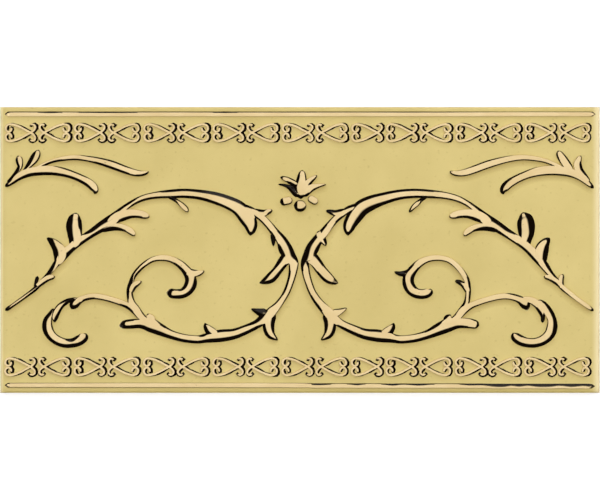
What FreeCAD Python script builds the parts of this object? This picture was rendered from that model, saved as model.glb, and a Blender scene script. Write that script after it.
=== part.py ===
import FreeCAD, Part
import Sketcher
import math
import os
from FreeCAD import Vector

# A Victorian-style border tile, pressed and fired in one piece: a flat ceramic body with
# a raised pattern of scrolls, sprigs, a flower bud, two chains of hearts and two edge bars.
# The back lies on z = 0 with the origin at its middle, X along the tile, Z out of the face.

doc = FreeCAD.newDocument("border_tile")

SIZES = [
    ("tile_length", 250.0),
    ("tile_width", 119.2),
    ("body_thickness", 8.0),
    ("arris_radius", 1.2),
    ("key_columns", 9),
    ("key_rows", 4),
    ("key_rim", 9.0),
    ("key_land", 4.0),
    ("key_depth", 0.8),
    ("bar_width", 2.3),
    ("bar_height", 0.9),
    ("bar_inset", 2.9),
    ("end_inset", 2.1),
    ("heart_count", 17),
    ("chain_inset", 10.7),
    ("chain_span", 7.9),
    ("chain_rib_width", 1.1),
    ("chain_height", 0.8),
    ("heart_gap", 0.5),
    ("stem_width", 3.75),
    ("stem_height", 1.5),
    ("leaf_height", 1.25),
    ("petal_height", 1.4),
    ("pearl_height", 1.7),
    ("land_share", 0.45),
    ("relief_root", 0.5),
]

sheet = doc.addObject("Spreadsheet::Sheet", "sizes")
for row, (alias, value) in enumerate(SIZES, start=1):
    sheet.set(f"A{row}", alias)
    sheet.set(f"B{row}", str(value))
    sheet.setAlias(f"B{row}", alias)
doc.recompute()


def size(alias):
    return float(getattr(sheet, alias))


# The pattern is drawn on a grid whose middle is the tile's middle. Grid points are
# (x, y, half width of the rib): x runs from 0 to 300 at the middle, y downwards.
GRID_MIDDLE_X = 300.0
GRID_MIDDLE_Y = 250.0
GRID_END_X = 5.0
GRID_CHAIN_Y = 132.7
GRID_STEM_WIDTH = 9.0

STEMS = {
    "arch": [(5.2, 310.6, 1.0), (24, 297.2, 1.9), (42, 281.5, 2.3), (55, 265.5, 2.6),
             (72, 247, 4.2), (92, 232, 3.9), (112, 219.5, 5.5), (131, 203.7, 2.4),
             (155, 195.2, 3.1), (185, 193.3, 4.5), (215, 197.6, 5.6), (239, 208.5, 7.2),
             (251, 225, 6.4), (251, 235.6, 1.0)],
    "ring": [(241, 205.5, 1.6), (256.2, 213.5, 3.4), (269.6, 225.5, 3.3), (281.3, 241, 4.9),
             (290.8, 257.5, 6.4), (293.4, 271, 3.8), (287.3, 291, 2.6), (277.5, 305.5, 3.8),
             (263.5, 319.8, 4.4), (246, 329.8, 4.0), (221, 336.3, 5.8), (197, 339.5, 3.5),
             (171, 334.3, 4.2), (151, 324.6, 6.4), (131, 324.4, 4.2), (119, 326.6, 2.2)],
    "spiral": [(148, 324, 4.0), (136, 310, 4.0), (130, 296, 2.8), (131, 282.5, 2.4),
               (139, 269, 2.3), (153, 259.5, 2.6), (171, 259.3, 3.2), (185.5, 269.5, 4.6),
               (190.8, 283.5, 5.8), (182.5, 293.4, 5.0), (170, 293.2, 4.9), (166.4, 292.4, 3.0)],
    "outer_scroll": [(142, 318.5, 3.2), (127.5, 305, 3.0), (110, 298.8, 2.9), (92.5, 296, 2.6),
                     (80, 300.4, 3.6), (73.6, 305.2, 5.2), (70.8, 310, 2.2)],
    "outer_curl": [(53.5, 309, 1.2), (47.8, 320, 4.2), (50.4, 334.5, 4.9), (63, 342.8, 4.4),
                   (78, 341, 5.2), (86, 333.8, 2.2)],
    "sprig": [(5.0, 186.8, 1.2), (19, 176.6, 3.6), (40, 170.5, 4.3), (62, 171.8, 4.4),
              (81, 178.8, 3.8), (93.5, 187.6, 4.4), (94.8, 194, 0.6)],
}

LEAVES = {
    "curl_leaf": [(78, 299, 1.0), (67, 301.2, 2.2), (58, 309, 3.6), (55, 322.8, 0.8)],
    "spike": [(35.5, 289.5, 1.4), (38, 283, 2.4), (37.4, 275.8, 1.2)],
    "side_bud": [(37.5, 286, 2.0), (47, 279, 3.2), (55.2, 277, 0.6)],
    "fork": [(56, 265, 2.2), (59.8, 252, 6.0), (47, 238, 0.9)],
    "tall": [(72, 247.5, 3.0), (75, 235, 6.4), (74.5, 222, 7.4), (75.8, 212, 1.2)],
    "broad": [(108, 224, 3.2), (122.5, 215.2, 4.8), (139, 214, 3.8), (149.6, 217.2, 1.2)],
    "low": [(103, 229, 2.6), (119, 226.8, 3.4), (134.6, 235.8, 1.4)],
    "arch_thorn": [(167, 196.4, 1.6), (181, 204, 2.4), (188, 212, 1.0)],
    "collar_thorn": [(257, 212, 2.6), (265, 212.8, 2.8), (273, 210, 0.7)],
    "ring_thorn": [(280, 236, 2.4), (275, 242, 2.4), (273.1, 246.8, 0.7)],
    "inner_leaf": [(289, 255, 3.6), (277.3, 271.2, 5.0), (259.3, 283.1, 0.5)],
    "inner_thorn": [(270, 315.5, 4.2), (261, 312.4, 3.6), (250.8, 308.9, 0.5)],
    "down_thorn": [(273, 312, 5.0), (269, 326, 5.4), (277.8, 340, 0.6)],
    "low_thorn": [(216, 335.5, 3.6), (208.4, 330, 3.6), (205.2, 322.6, 0.5)],
    "nub": [(154, 322, 4.0), (150, 317.5, 3.4), (147.5, 313.6, 1.2)],
    "spiral_leaf": [(130.6, 292, 2.0), (135, 284.6, 2.7), (142, 281.6, 0.5)],
    "spiral_thorn": [(186, 271, 3.6), (196, 273.3, 3.2), (204.8, 270.8, 0.5)],
    "sprig_long": [(34, 169.6, 1.6), (54, 160.8, 1.5), (76, 157.5, 2.0), (100, 161.2, 3.0),
                   (124, 169.2, 3.5), (140.5, 173.4, 2.6), (148.8, 171.4, 0.5)],
    "sprig_short": [(9, 181.5, 1.6), (19, 168, 2.7), (20, 161, 3.5), (17.6, 155.8, 1.0)],
    "sprig_second": [(23.5, 171.5, 1.4), (33.8, 159.2, 3.7), (38.9, 149.8, 1.2)],
}

PETALS = {
    "centre": [(301, 199, 2.6), (301, 188, 6.2), (302.2, 174.6, 3.9), (302.4, 169.6, 1.4)],
    "left": [(297.5, 186, 3.2), (287, 179.5, 2.6), (280.2, 177.2, 0.8)],
    "right": [(304, 187.5, 3.6), (311, 180, 2.4), (317.2, 175.4, 0.7)],
    "left_sepal": [(300, 196, 3.6), (290, 188, 2.8), (278, 184.2, 0.5)],
    "right_sepal": [(301.5, 195.5, 4.0), (312, 187.8, 3.3), (326, 184.6, 0.5)],
}

# Pearls under the bud: middle x, middle y, half length, half width, tilt in degrees.
PEARLS = [(286.4, 201.0, 6.3, 4.2, 14), (300.2, 206.0, 6.4, 6.2, 0), (312.8, 200.3, 5.8, 4.2, -30)]

# Shares of a pearl's plan and of its height, from its foot to its top.
PEARL_RINGS = [(1.0, 0.0), (0.84, 0.7), (0.45, 1.0)]

# One leg of a heart: x as a share of the heart's length from its wide end, y as a share
# of half the chain's span. The other leg mirrors it and crosses it near the narrow end.
HEART_LEG = [(0.15, 0.48), (0.07, 0.14), (0.02, 0.52), (0.08, 0.95), (0.25, 0.97),
             (0.84, -0.12), (0.94, -0.55), (0.87, -1.0), (0.75, -0.85)]

# The hearts follow one another in turned pairs, with one single heart between the sets.
PAIRS_BEFORE_SINGLE = 5

FRONT = size("body_thickness")
ROOT = FRONT - size("relief_root")
RIB_UNIT = size("stem_width") / GRID_STEM_WIDTH


def on_tile(x, y):
    x_scale = (size("tile_length") / 2 - size("end_inset")) / (GRID_MIDDLE_X - GRID_END_X)
    y_scale = (size("tile_width") / 2 - size("chain_inset")) / (GRID_MIDDLE_Y - GRID_CHAIN_Y)
    return Vector((x - GRID_MIDDLE_X) * x_scale, (GRID_MIDDLE_Y - y) * y_scale, 0)


def smooth_edge(points):
    curve = Part.BSplineCurve()
    curve.interpolate(points)
    return curve.toShape()


def rib_wire(centres, normals, half_widths, level, straight):
    lift = Vector(0, 0, level)
    left = [c + n * w + lift for c, n, w in zip(centres, normals, half_widths)]
    right = [c - n * w + lift for c, n, w in zip(centres, normals, half_widths)]
    right.reverse()
    if straight:
        return Part.makePolygon(left + right + left[:1])
    edges = [smooth_edge(left), Part.makeLine(left[-1], right[0]),
             smooth_edge(right), Part.makeLine(right[-1], left[0])]
    return Part.Wire(edges)


def rib(centres, half_widths, height, straight=False):
    # A rib with sloping sides: its foot lies in the body, its flat land on the relief's top.
    up = Vector(0, 0, 1)
    if straight:
        ahead = [(b - a).normalize() for a, b in zip(centres, centres[1:])]
        tangents = [a + b for a, b in zip(ahead[:1] + ahead, ahead + ahead[-1:])]
        normals = [up.cross(t).normalize() for t in tangents]
        normals = [n / n.dot(up.cross(a)) for n, a in zip(normals, ahead + ahead[-1:])]
    else:
        curve = Part.BSplineCurve()
        curve.interpolate(centres)
        tangents = [curve.tangent(curve.parameter(c))[0] for c in centres]
        normals = [up.cross(t).normalize() for t in tangents]
    foot = rib_wire(centres, normals, half_widths, ROOT, straight)
    land = size("land_share")
    top = rib_wire(centres, normals, [w * land for w in half_widths], FRONT + height, straight)
    return Part.makeLoft([foot, top], True, True)


def drawn_rib(points, height):
    centres = [on_tile(x, y) for x, y, w in points]
    return rib(centres, [w * RIB_UNIT for x, y, w in points], height)


def heart(length):
    half_span = (size("chain_span") - size("chain_rib_width")) / 2
    half_width = size("chain_rib_width") / 2
    legs = []
    for side in (1, -1):
        centres = [Vector(x * length, side * y * half_span, 0) for x, y in HEART_LEG]
        legs.append(rib(centres, [half_width] * len(centres), size("chain_height"), True))
    return legs[0].fuse(legs[1])


def chain(y):
    count = int(size("heart_count"))
    first = size("end_inset") - size("tile_length") / 2
    pitch = (size("tile_length") - 2 * size("end_inset")) / count
    link = heart(pitch - size("heart_gap"))
    links = []
    for number in range(count):
        before_single = number <= 2 * PAIRS_BEFORE_SINGLE
        turned = (number if before_single else number - 1) % 2 == 1
        copy = link.copy()
        if turned:
            copy.rotate(Vector(0, 0, 0), Vector(0, 0, 1), 180)
        start = first + pitch * (number + 1 if turned else number)
        offset = size("heart_gap") / 2
        copy.translate(Vector(start - offset if turned else start + offset, y, 0))
        links.append(copy)
    return links


def pearl(x, y, half_length, half_width, tilt):
    # A cabochon: an oval that narrows to its top in two slopes.
    rings = []
    for plan_share, height_share in PEARL_RINGS:
        level = ROOT + height_share * (FRONT + size("pearl_height") - ROOT)
        long_axis = half_length * RIB_UNIT * plan_share
        short_axis = half_width * RIB_UNIT * plan_share
        oval = Part.Ellipse(Vector(0, 0, level), long_axis, short_axis)
        rings.append(Part.Wire([oval.toShape()]))
    cabochon = Part.makeLoft(rings, True, True)
    cabochon.rotate(Vector(0, 0, 0), Vector(0, 0, 1), tilt)
    cabochon.translate(on_tile(x, y))
    return cabochon


def origin_feature(body, role):
    return next(f for f in body.Origin.OriginFeatures if f.Role == role)


def new_sketch(body, name, role):
    sketch = body.newObject("Sketcher::SketchObject", name)
    sketch.AttachmentSupport = [(origin_feature(body, role), "")]
    sketch.MapMode = "FlatFace"
    return sketch


def bound(sketch, constraint, expression):
    index = sketch.addConstraint(constraint)
    sketch.setExpression(f"Constraints[{index}]", expression)


def closed_outline(sketch, corners):
    # Four straight sides, the first and third level, the second and fourth upright.
    points = [Vector(x, y, 0) for x, y in corners]
    for start, end in zip(points, points[1:] + points[:1]):
        sketch.addGeometry(Part.LineSegment(start, end), False)
    for side in range(4):
        sketch.addConstraint(Sketcher.Constraint("Coincident", side, 2, (side + 1) % 4, 1))
        kind = "Horizontal" if side % 2 == 0 else "Vertical"
        sketch.addConstraint(Sketcher.Constraint(kind, side))


def tile_blank():
    body = doc.addObject("PartDesign::Body", "blank")
    length = size("tile_length")
    width = size("tile_width")

    outline = new_sketch(body, "outline", "XY_Plane")
    closed_outline(outline, [(-length / 2, -width / 2), (length / 2, -width / 2),
                             (length / 2, width / 2), (-length / 2, width / 2)])
    outline.addConstraint(Sketcher.Constraint("Symmetric", 0, 1, 2, 1, -1, 1))
    bound(outline, Sketcher.Constraint("DistanceX", 0, 1, 0, 2, length), "sizes.tile_length")
    bound(outline, Sketcher.Constraint("DistanceY", 1, 1, 1, 2, width), "sizes.tile_width")
    slab = body.newObject("PartDesign::Pad", "slab")
    slab.Profile = outline
    slab.setExpression("Length", "sizes.body_thickness")
    doc.recompute()

    # The four edges round the front are softened.
    soft = []
    for number, edge in enumerate(slab.Shape.Edges, start=1):
        if edge.BoundBox.ZMin > FRONT / 2:
            soft.append(f"Edge{number}")
    arris = body.newObject("PartDesign::Fillet", "arris")
    arris.Base = (slab, soft)
    arris.setExpression("Radius", "sizes.arris_radius")
    doc.recompute()
    return body


def back_keys(body):
    # A field of shallow square recesses, which the adhesive grips.
    cell_x = "(sizes.tile_length - 2 * sizes.key_rim + sizes.key_land) / sizes.key_columns"
    cell_y = "(sizes.tile_width - 2 * sizes.key_rim + sizes.key_land) / sizes.key_rows"
    step_x = (size("tile_length") - 2 * size("key_rim") + size("key_land")) / size("key_columns")
    step_y = (size("tile_width") - 2 * size("key_rim") + size("key_land")) / size("key_rows")
    right = size("tile_length") / 2 - size("key_rim")
    top = size("tile_width") / 2 - size("key_rim")
    left = right - step_x + size("key_land")
    low = top - step_y + size("key_land")

    sketch = new_sketch(body, "key", "XY_Plane")
    closed_outline(sketch, [(left, low), (right, low), (right, top), (left, top)])
    bound(sketch, Sketcher.Constraint("DistanceX", -1, 1, 1, 2, right),
          "sizes.tile_length / 2 - sizes.key_rim")
    bound(sketch, Sketcher.Constraint("DistanceY", -1, 1, 1, 2, top),
          "sizes.tile_width / 2 - sizes.key_rim")
    bound(sketch, Sketcher.Constraint("DistanceX", 0, 1, 0, 2, right - left),
          f"{cell_x} - sizes.key_land")
    bound(sketch, Sketcher.Constraint("DistanceY", 1, 1, 1, 2, top - low),
          f"{cell_y} - sizes.key_land")
    before = body.Shape.Volume
    recess = body.newObject("PartDesign::Pocket", "recess")
    recess.Profile = sketch
    recess.Reversed = True
    recess.setExpression("Length", "sizes.key_depth")
    doc.recompute()
    if recess.Shape.Volume >= before:
        raise RuntimeError("the recess cuts nothing")

    keys = body.newObject("PartDesign::LinearPattern", "keys")
    keys.Originals = [recess]
    keys.Direction = (origin_feature(body, "X_Axis"), [""])
    keys.Reversed = True
    keys.setExpression("Length", f"{cell_x} * (sizes.key_columns - 1)")
    keys.setExpression("Occurrences", "sizes.key_columns")
    keys.Direction2 = (origin_feature(body, "Y_Axis"), [""])
    keys.Reversed2 = True
    keys.setExpression("Length2", f"{cell_y} * (sizes.key_rows - 1)")
    keys.setExpression("Occurrences2", "sizes.key_rows")
    body.Tip = keys
    doc.recompute()


def edge_bars(body):
    # A half-round bar along each long edge, drawn as a section and mirrored.
    half = size("bar_width") / 2
    rise = size("bar_height")
    middle = size("tile_width") / 2 - size("bar_inset")
    radius = (half ** 2 + rise ** 2) / (2 * rise)
    centre = Vector(middle, FRONT + rise - radius, 0)
    spread = math.asin(min(1.0, half / radius))

    sketch = new_sketch(body, "bar_section", "YZ_Plane")
    closed_outline(sketch, [(middle - half, ROOT), (middle + half, ROOT),
                            (middle + half, FRONT), (middle - half, FRONT)])
    circle = Part.Circle(centre, Vector(0, 0, 1), radius)
    crown = sketch.addGeometry(Part.ArcOfCircle(circle, math.pi / 2 - spread, math.pi / 2 + spread))
    sketch.toggleConstruction(2)
    sketch.addConstraint(Sketcher.Constraint("Coincident", crown, 1, 1, 2))
    sketch.addConstraint(Sketcher.Constraint("Coincident", crown, 2, 3, 1))
    bound(sketch, Sketcher.Constraint("Radius", crown, radius),
          "(sizes.bar_width ^ 2 / 4 + sizes.bar_height ^ 2) / (2 * sizes.bar_height)")
    bound(sketch, Sketcher.Constraint("DistanceX", 0, 1, 0, 2, 2 * half), "sizes.bar_width")
    bound(sketch, Sketcher.Constraint("DistanceX", -1, 1, 0, 2, middle + half),
          "sizes.tile_width / 2 - sizes.bar_inset + sizes.bar_width / 2")
    bound(sketch, Sketcher.Constraint("DistanceY", -1, 1, 1, 2, FRONT), "sizes.body_thickness")
    bound(sketch, Sketcher.Constraint("DistanceY", 1, 1, 1, 2, FRONT - ROOT), "sizes.relief_root")
    before = body.Shape.Volume
    bar = body.newObject("PartDesign::Pad", "bar")
    bar.Profile = sketch
    bar.Midplane = True
    bar.setExpression("Length", "sizes.tile_length - 2 * sizes.end_inset")
    doc.recompute()
    if bar.Shape.Volume <= before:
        raise RuntimeError("the bar adds nothing")

    bars = body.newObject("PartDesign::Mirrored", "bars")
    bars.Originals = [bar]
    bars.MirrorPlane = (origin_feature(body, "XZ_Plane"), [""])
    body.Tip = bars
    doc.recompute()


def relief(name, shapes):
    feature = doc.addObject("Part::Feature", name)
    feature.Shape = shapes[0].multiFuse(shapes[1:])
    return feature


def scroll_relief():
    half = [drawn_rib(points, size("stem_height")) for points in STEMS.values()]
    half += [drawn_rib(points, size("leaf_height")) for points in LEAVES.values()]
    left = half[0].multiFuse(half[1:])
    right = left.mirror(Vector(0, 0, 0), Vector(1, 0, 0))
    return relief("scrolls", left.Solids + right.Solids)


def bud_relief():
    petals = [drawn_rib(points, size("petal_height")) for points in PETALS.values()]
    return relief("bud", petals + [pearl(*drawing) for drawing in PEARLS])


def chain_relief():
    y = size("tile_width") / 2 - size("chain_inset")
    return relief("chains", chain(y) + chain(-y))


blank = tile_blank()
back_keys(blank)
edge_bars(blank)

tile = doc.addObject("Part::MultiFuse", "tile")
tile.Label = "border_tile"
tile.Shapes = [blank, scroll_relief(), bud_relief(), chain_relief()]
tile.Refine = False
doc.recompute()

for item in doc.Objects:
    if "Invalid" in item.State or "Error" in item.State:
        raise RuntimeError(f"{item.Label} failed")
if tile.Shape.isNull() or not tile.Shape.isValid() or len(tile.Shape.Solids) != 1:
    raise RuntimeError("the tile is not one valid solid")

os.makedirs("parts", exist_ok=True)
tile.Shape.exportStep(f"parts/{tile.Label}.step")
box = tile.Shape.BoundBox
print(f"border_tile {box.XLength:.2f} x {box.YLength:.2f} x {box.ZLength:.2f} mm,"
      f" {tile.Shape.Volume / 1000:.1f} cm3, {len(tile.Shape.Faces)} faces")
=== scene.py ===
import bpy
import bmesh
import math
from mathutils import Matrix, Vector


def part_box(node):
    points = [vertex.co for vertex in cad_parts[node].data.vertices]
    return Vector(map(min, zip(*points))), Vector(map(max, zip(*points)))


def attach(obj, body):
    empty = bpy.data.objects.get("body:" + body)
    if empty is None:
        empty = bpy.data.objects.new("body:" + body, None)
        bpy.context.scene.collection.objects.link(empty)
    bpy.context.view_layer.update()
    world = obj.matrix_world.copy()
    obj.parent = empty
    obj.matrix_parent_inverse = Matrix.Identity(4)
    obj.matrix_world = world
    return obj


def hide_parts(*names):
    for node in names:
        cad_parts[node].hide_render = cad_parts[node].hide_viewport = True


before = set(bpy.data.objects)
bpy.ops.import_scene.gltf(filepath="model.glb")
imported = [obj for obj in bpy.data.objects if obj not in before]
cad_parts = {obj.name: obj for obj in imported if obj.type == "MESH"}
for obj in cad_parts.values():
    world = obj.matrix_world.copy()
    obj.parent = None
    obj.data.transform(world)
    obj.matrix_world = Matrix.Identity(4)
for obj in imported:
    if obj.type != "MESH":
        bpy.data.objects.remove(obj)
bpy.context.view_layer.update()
tileLow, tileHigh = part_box("border_tile")

# the photograph is 600 x 500 and shows the tile from end to end
photo = {
    "width": 600,
    "middleX": 300.0,
    "middleY": 250.0,
    "mirrorX": 299.4,       # the line about which the scroll mirrors
}
tile = {
    "length": tileHigh.x - tileLow.x,
    "width": tileHigh.y - tileLow.y,
    "front": 0.008,         # level of the glazed face
    "edgeRadius": 0.0012,   # soft edge round the face
    "edgeSteps": 5,
    "backEase": 0.0004,     # worn edge round the back
    "faceSquare": 0.003,
    "sharpAngle": 40.0,     # degrees, folds past this stay crisp
}
pixel = tile["length"] / photo["width"]


def onTile(x, y):
    return (x - photo["middleX"]) * pixel, (photo["middleY"] - y) * pixel


def newObject(name, data):
    obj = bpy.data.objects.new(name, data)
    bpy.context.scene.collection.objects.link(obj)
    return obj


def plainMesh(obj, name):
    # the evaluated result becomes a mesh of its own, and the source goes
    graph = bpy.context.evaluated_depsgraph_get()
    mesh = bpy.data.meshes.new_from_object(obj.evaluated_get(graph))
    bpy.data.objects.remove(obj)
    made = newObject(name, mesh)
    made.data.name = name
    return made


def addNode(tree, kind, inputs=None, **settings):
    node = tree.nodes.new(kind)
    for key, value in settings.items():
        setattr(node, key, value)
    for key, value in (inputs or {}).items():
        if isinstance(value, bpy.types.NodeSocket):
            tree.links.new(value, node.inputs[key])
        else:
            node.inputs[key].default_value = value
    return node


def calc(tree, operation, *values):
    node = addNode(tree, "ShaderNodeMath", dict(enumerate(values)), operation=operation)
    return node.outputs[0]


def startTree(name, sizes):
    # one named input for each size in the piece's dictionary
    tree = bpy.data.node_groups.new(name, "GeometryNodeTree")
    tree.interface.new_socket("Geometry", in_out="INPUT", socket_type="NodeSocketGeometry")
    for label, value in sizes.items():
        kind = "NodeSocketInt" if isinstance(value, int) else "NodeSocketFloat"
        tree.interface.new_socket(label, in_out="INPUT", socket_type=kind)
    tree.interface.new_socket("Geometry", in_out="OUTPUT", socket_type="NodeSocketGeometry")
    return tree, tree.nodes.new("NodeGroupInput").outputs


def endTree(tree, geometry, material):
    real = addNode(tree, "GeometryNodeRealizeInstances", {"Geometry": geometry})
    painted = addNode(tree, "GeometryNodeSetMaterial",
                      {"Geometry": real.outputs[0], "Material": material})
    addNode(tree, "NodeGroupOutput", {"Geometry": painted.outputs[0]})


def useTree(obj, tree, sizes):
    modifier = obj.modifiers.new(tree.name, "NODES")
    modifier.node_group = tree
    for item in tree.interface.items_tree:
        if item.in_out == "INPUT" and item.name in sizes:
            modifier[item.identifier] = sizes[item.name]


# materials

def startMaterial(name):
    material = bpy.data.materials.new(name)
    material.use_nodes = True
    tree = material.node_tree
    shader = tree.nodes["Principled BSDF"]
    place = tree.nodes.new("ShaderNodeTexCoord").outputs["Object"]
    return material, tree, shader, place


def noise(tree, place, scale, detail=2.0, roughness=0.5):
    node = addNode(tree, "ShaderNodeTexNoise",
                   {"Vector": place, "Scale": scale, "Detail": detail, "Roughness": roughness})
    return node.outputs["Fac"]


def spread(tree, value, fromLow, fromHigh, toLow, toHigh, smooth=False):
    kind = "SMOOTHSTEP" if smooth else "LINEAR"
    node = addNode(tree, "ShaderNodeMapRange",
                   {"Value": value, "From Min": fromLow, "From Max": fromHigh,
                    "To Min": toLow, "To Max": toHigh}, interpolation_type=kind)
    return node.outputs["Result"]


def mixColour(tree, share, first, second):
    node = tree.nodes.new("ShaderNodeMix")
    node.data_type = "RGBA"
    for socket, value in zip((node.inputs[0], node.inputs[6], node.inputs[7]), (share, first, second)):
        if isinstance(value, bpy.types.NodeSocket):
            tree.links.new(value, socket)
        else:
            socket.default_value = (*value, 1.0) if isinstance(value, tuple) else value
    return node.outputs[2]


grainRange = (0.3, 0.7)   # most of a noise pattern lies between these


def uprightness(tree):
    # 1 on a level face, 0 on an upright one
    facing = tree.nodes.new("ShaderNodeTexCoord").outputs["Normal"]
    return addNode(tree, "ShaderNodeSeparateXYZ", {"Vector": facing}).outputs["Z"]


def finishMaterial(tree, shader, look, colour, rough, grain):
    bump = addNode(tree, "ShaderNodeBump",
                   {"Height": grain, "Strength": look["bumpStrength"], "Distance": look["bumpDepth"]})
    tree.links.new(colour, shader.inputs["Base Color"])
    tree.links.new(rough, shader.inputs["Roughness"])
    tree.links.new(bump.outputs["Normal"], shader.inputs["Normal"])


giltLook = {
    "pale": (0.80, 0.62, 0.334),
    "warm": (0.725, 0.544, 0.27),
    "pit": (0.20, 0.13, 0.05),
    "shade": (0.008, 0.0045, 0.002),  # painted shade on the sloping sides, standing in for their dark reflection of the room
    "shadeSlope": (0.985, 0.94),     # upright part of the normal where the painted shade starts and is full
    "shadeFadeSlope": (0.26, 0.16),      # and where the painted shade fades out and stops, on the steepest sides
    "toneScale": 70.0,
    "toneRange": (0.35, 0.65),       # noise values that turn from pale to warm
    "grainScale": 1100.0,
    "pitScale": 700.0,
    "pitRange": (0.75, 0.80),
    "pitShare": 0.5,
    "polish": (0.06, 0.12),          # roughness from best to worst
    "metal": 0.30,                   # a thin lustre: the pale glaze under it shows through
    "film": 0.15,                    # level of the clear coat's own reflection
    "bumpStrength": 0.05,
    "bumpDepth": 0.00008,
}


def giltLustre():
    material, tree, shader, place = startMaterial("giltLustre")
    tone = spread(tree, noise(tree, place, giltLook["toneScale"], 3.0), *giltLook["toneRange"], 0.0, 1.0)
    grain = noise(tree, place, giltLook["grainScale"], 3.0)
    pits = noise(tree, place, giltLook["pitScale"], 1.0)
    pits = spread(tree, pits, *giltLook["pitRange"], 0.0, giltLook["pitShare"])
    colour = mixColour(tree, tone, giltLook["pale"], giltLook["warm"])
    colour = mixColour(tree, pits, colour, giltLook["pit"])
    upright = uprightness(tree)
    start, full = giltLook["shadeSlope"]
    fadeStart, fadeEnd = giltLook["shadeFadeSlope"]
    # painted shade: sloping sides are darkened by how steep they are, in place of the dark room they reflect
    paintedShadeShare = calc(tree, "MULTIPLY", spread(tree, upright, full, start, 1.0, 0.0),
                spread(tree, upright, fadeEnd, fadeStart, 0.0, 1.0))
    # a rib with no flat top is darkened all over with the painted shade
    shadeAllShare = addNode(tree, "ShaderNodeAttribute", attribute_name="paintedShadeAll").outputs["Fac"]
    colour = mixColour(tree, calc(tree, "MAXIMUM", paintedShadeShare, shadeAllShare), colour, giltLook["shade"])
    rough = spread(tree, grain, *grainRange, *giltLook["polish"])
    finishMaterial(tree, shader, giltLook, colour, rough, grain)
    shader.inputs["Metallic"].default_value = giltLook["metal"]
    shader.inputs["Specular IOR Level"].default_value = giltLook["film"]
    return material


glazeLook = {
    "light": (0.745, 0.59, 0.203),
    "deep": (0.675, 0.528, 0.168),
    "speckAndShade": (0.49, 0.35, 0.075),    # darker glaze tone for the specks, and painted shadow below the relief and painted shade along the lower edge
    "thin": (0.98, 0.83, 0.47),     # where it runs thin and paler, and painted highlight where the rounded ends catch the light
    "thinReach": (0.0018, 0.0038),  # in from the left and the right end
    "lowReach": 0.0034,             # in from the lower edge, which is darkened as painted shade
    "lowShare": 0.2,
    "bisque": (0.66, 0.50, 0.36),   # bare fired clay on the back
    "bisqueDark": (0.55, 0.39, 0.27),
    "shadowReach": 0.0028,
    "shadowLean": (0.0, 0.75, 0.66),  # the occlusion leans up the face, so the painted shadow falls below each rib, as from a lamp beyond the upper edge
    "chainBand": (0.0405, 0.0435),  # from the middle line to where the small hearts start
    "chainShadow": 0.4,               # share of the painted shadow kept among them and the bars
    "shadowOpenness": (0.98, 0.68),      # how open the face is where the painted shadow starts and is full
    "shadowSlope": (0.90, 0.99),      # the painted shadow lies only where the face is level
    "mottleScale": 45.0,
    "speckScale": 650.0,
    "speckRange": (0.66, 0.80),
    "speckShare": 0.35,
    "grainScale": 2600.0,
    "glazeEnd": 0.0038,             # the glaze stops this high on the sides
    "endSoft": 0.00025,
    "endWave": 0.0009,              # and its edge wanders this far up and down
    "waveScale": 90.0,
    "clayScale": 240.0,
    "clayRough": 0.85,
    "gloss": (0.30, 0.42),
    "bumpStrength": 0.12,
    "bumpDepth": 0.00012,
}


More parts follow.
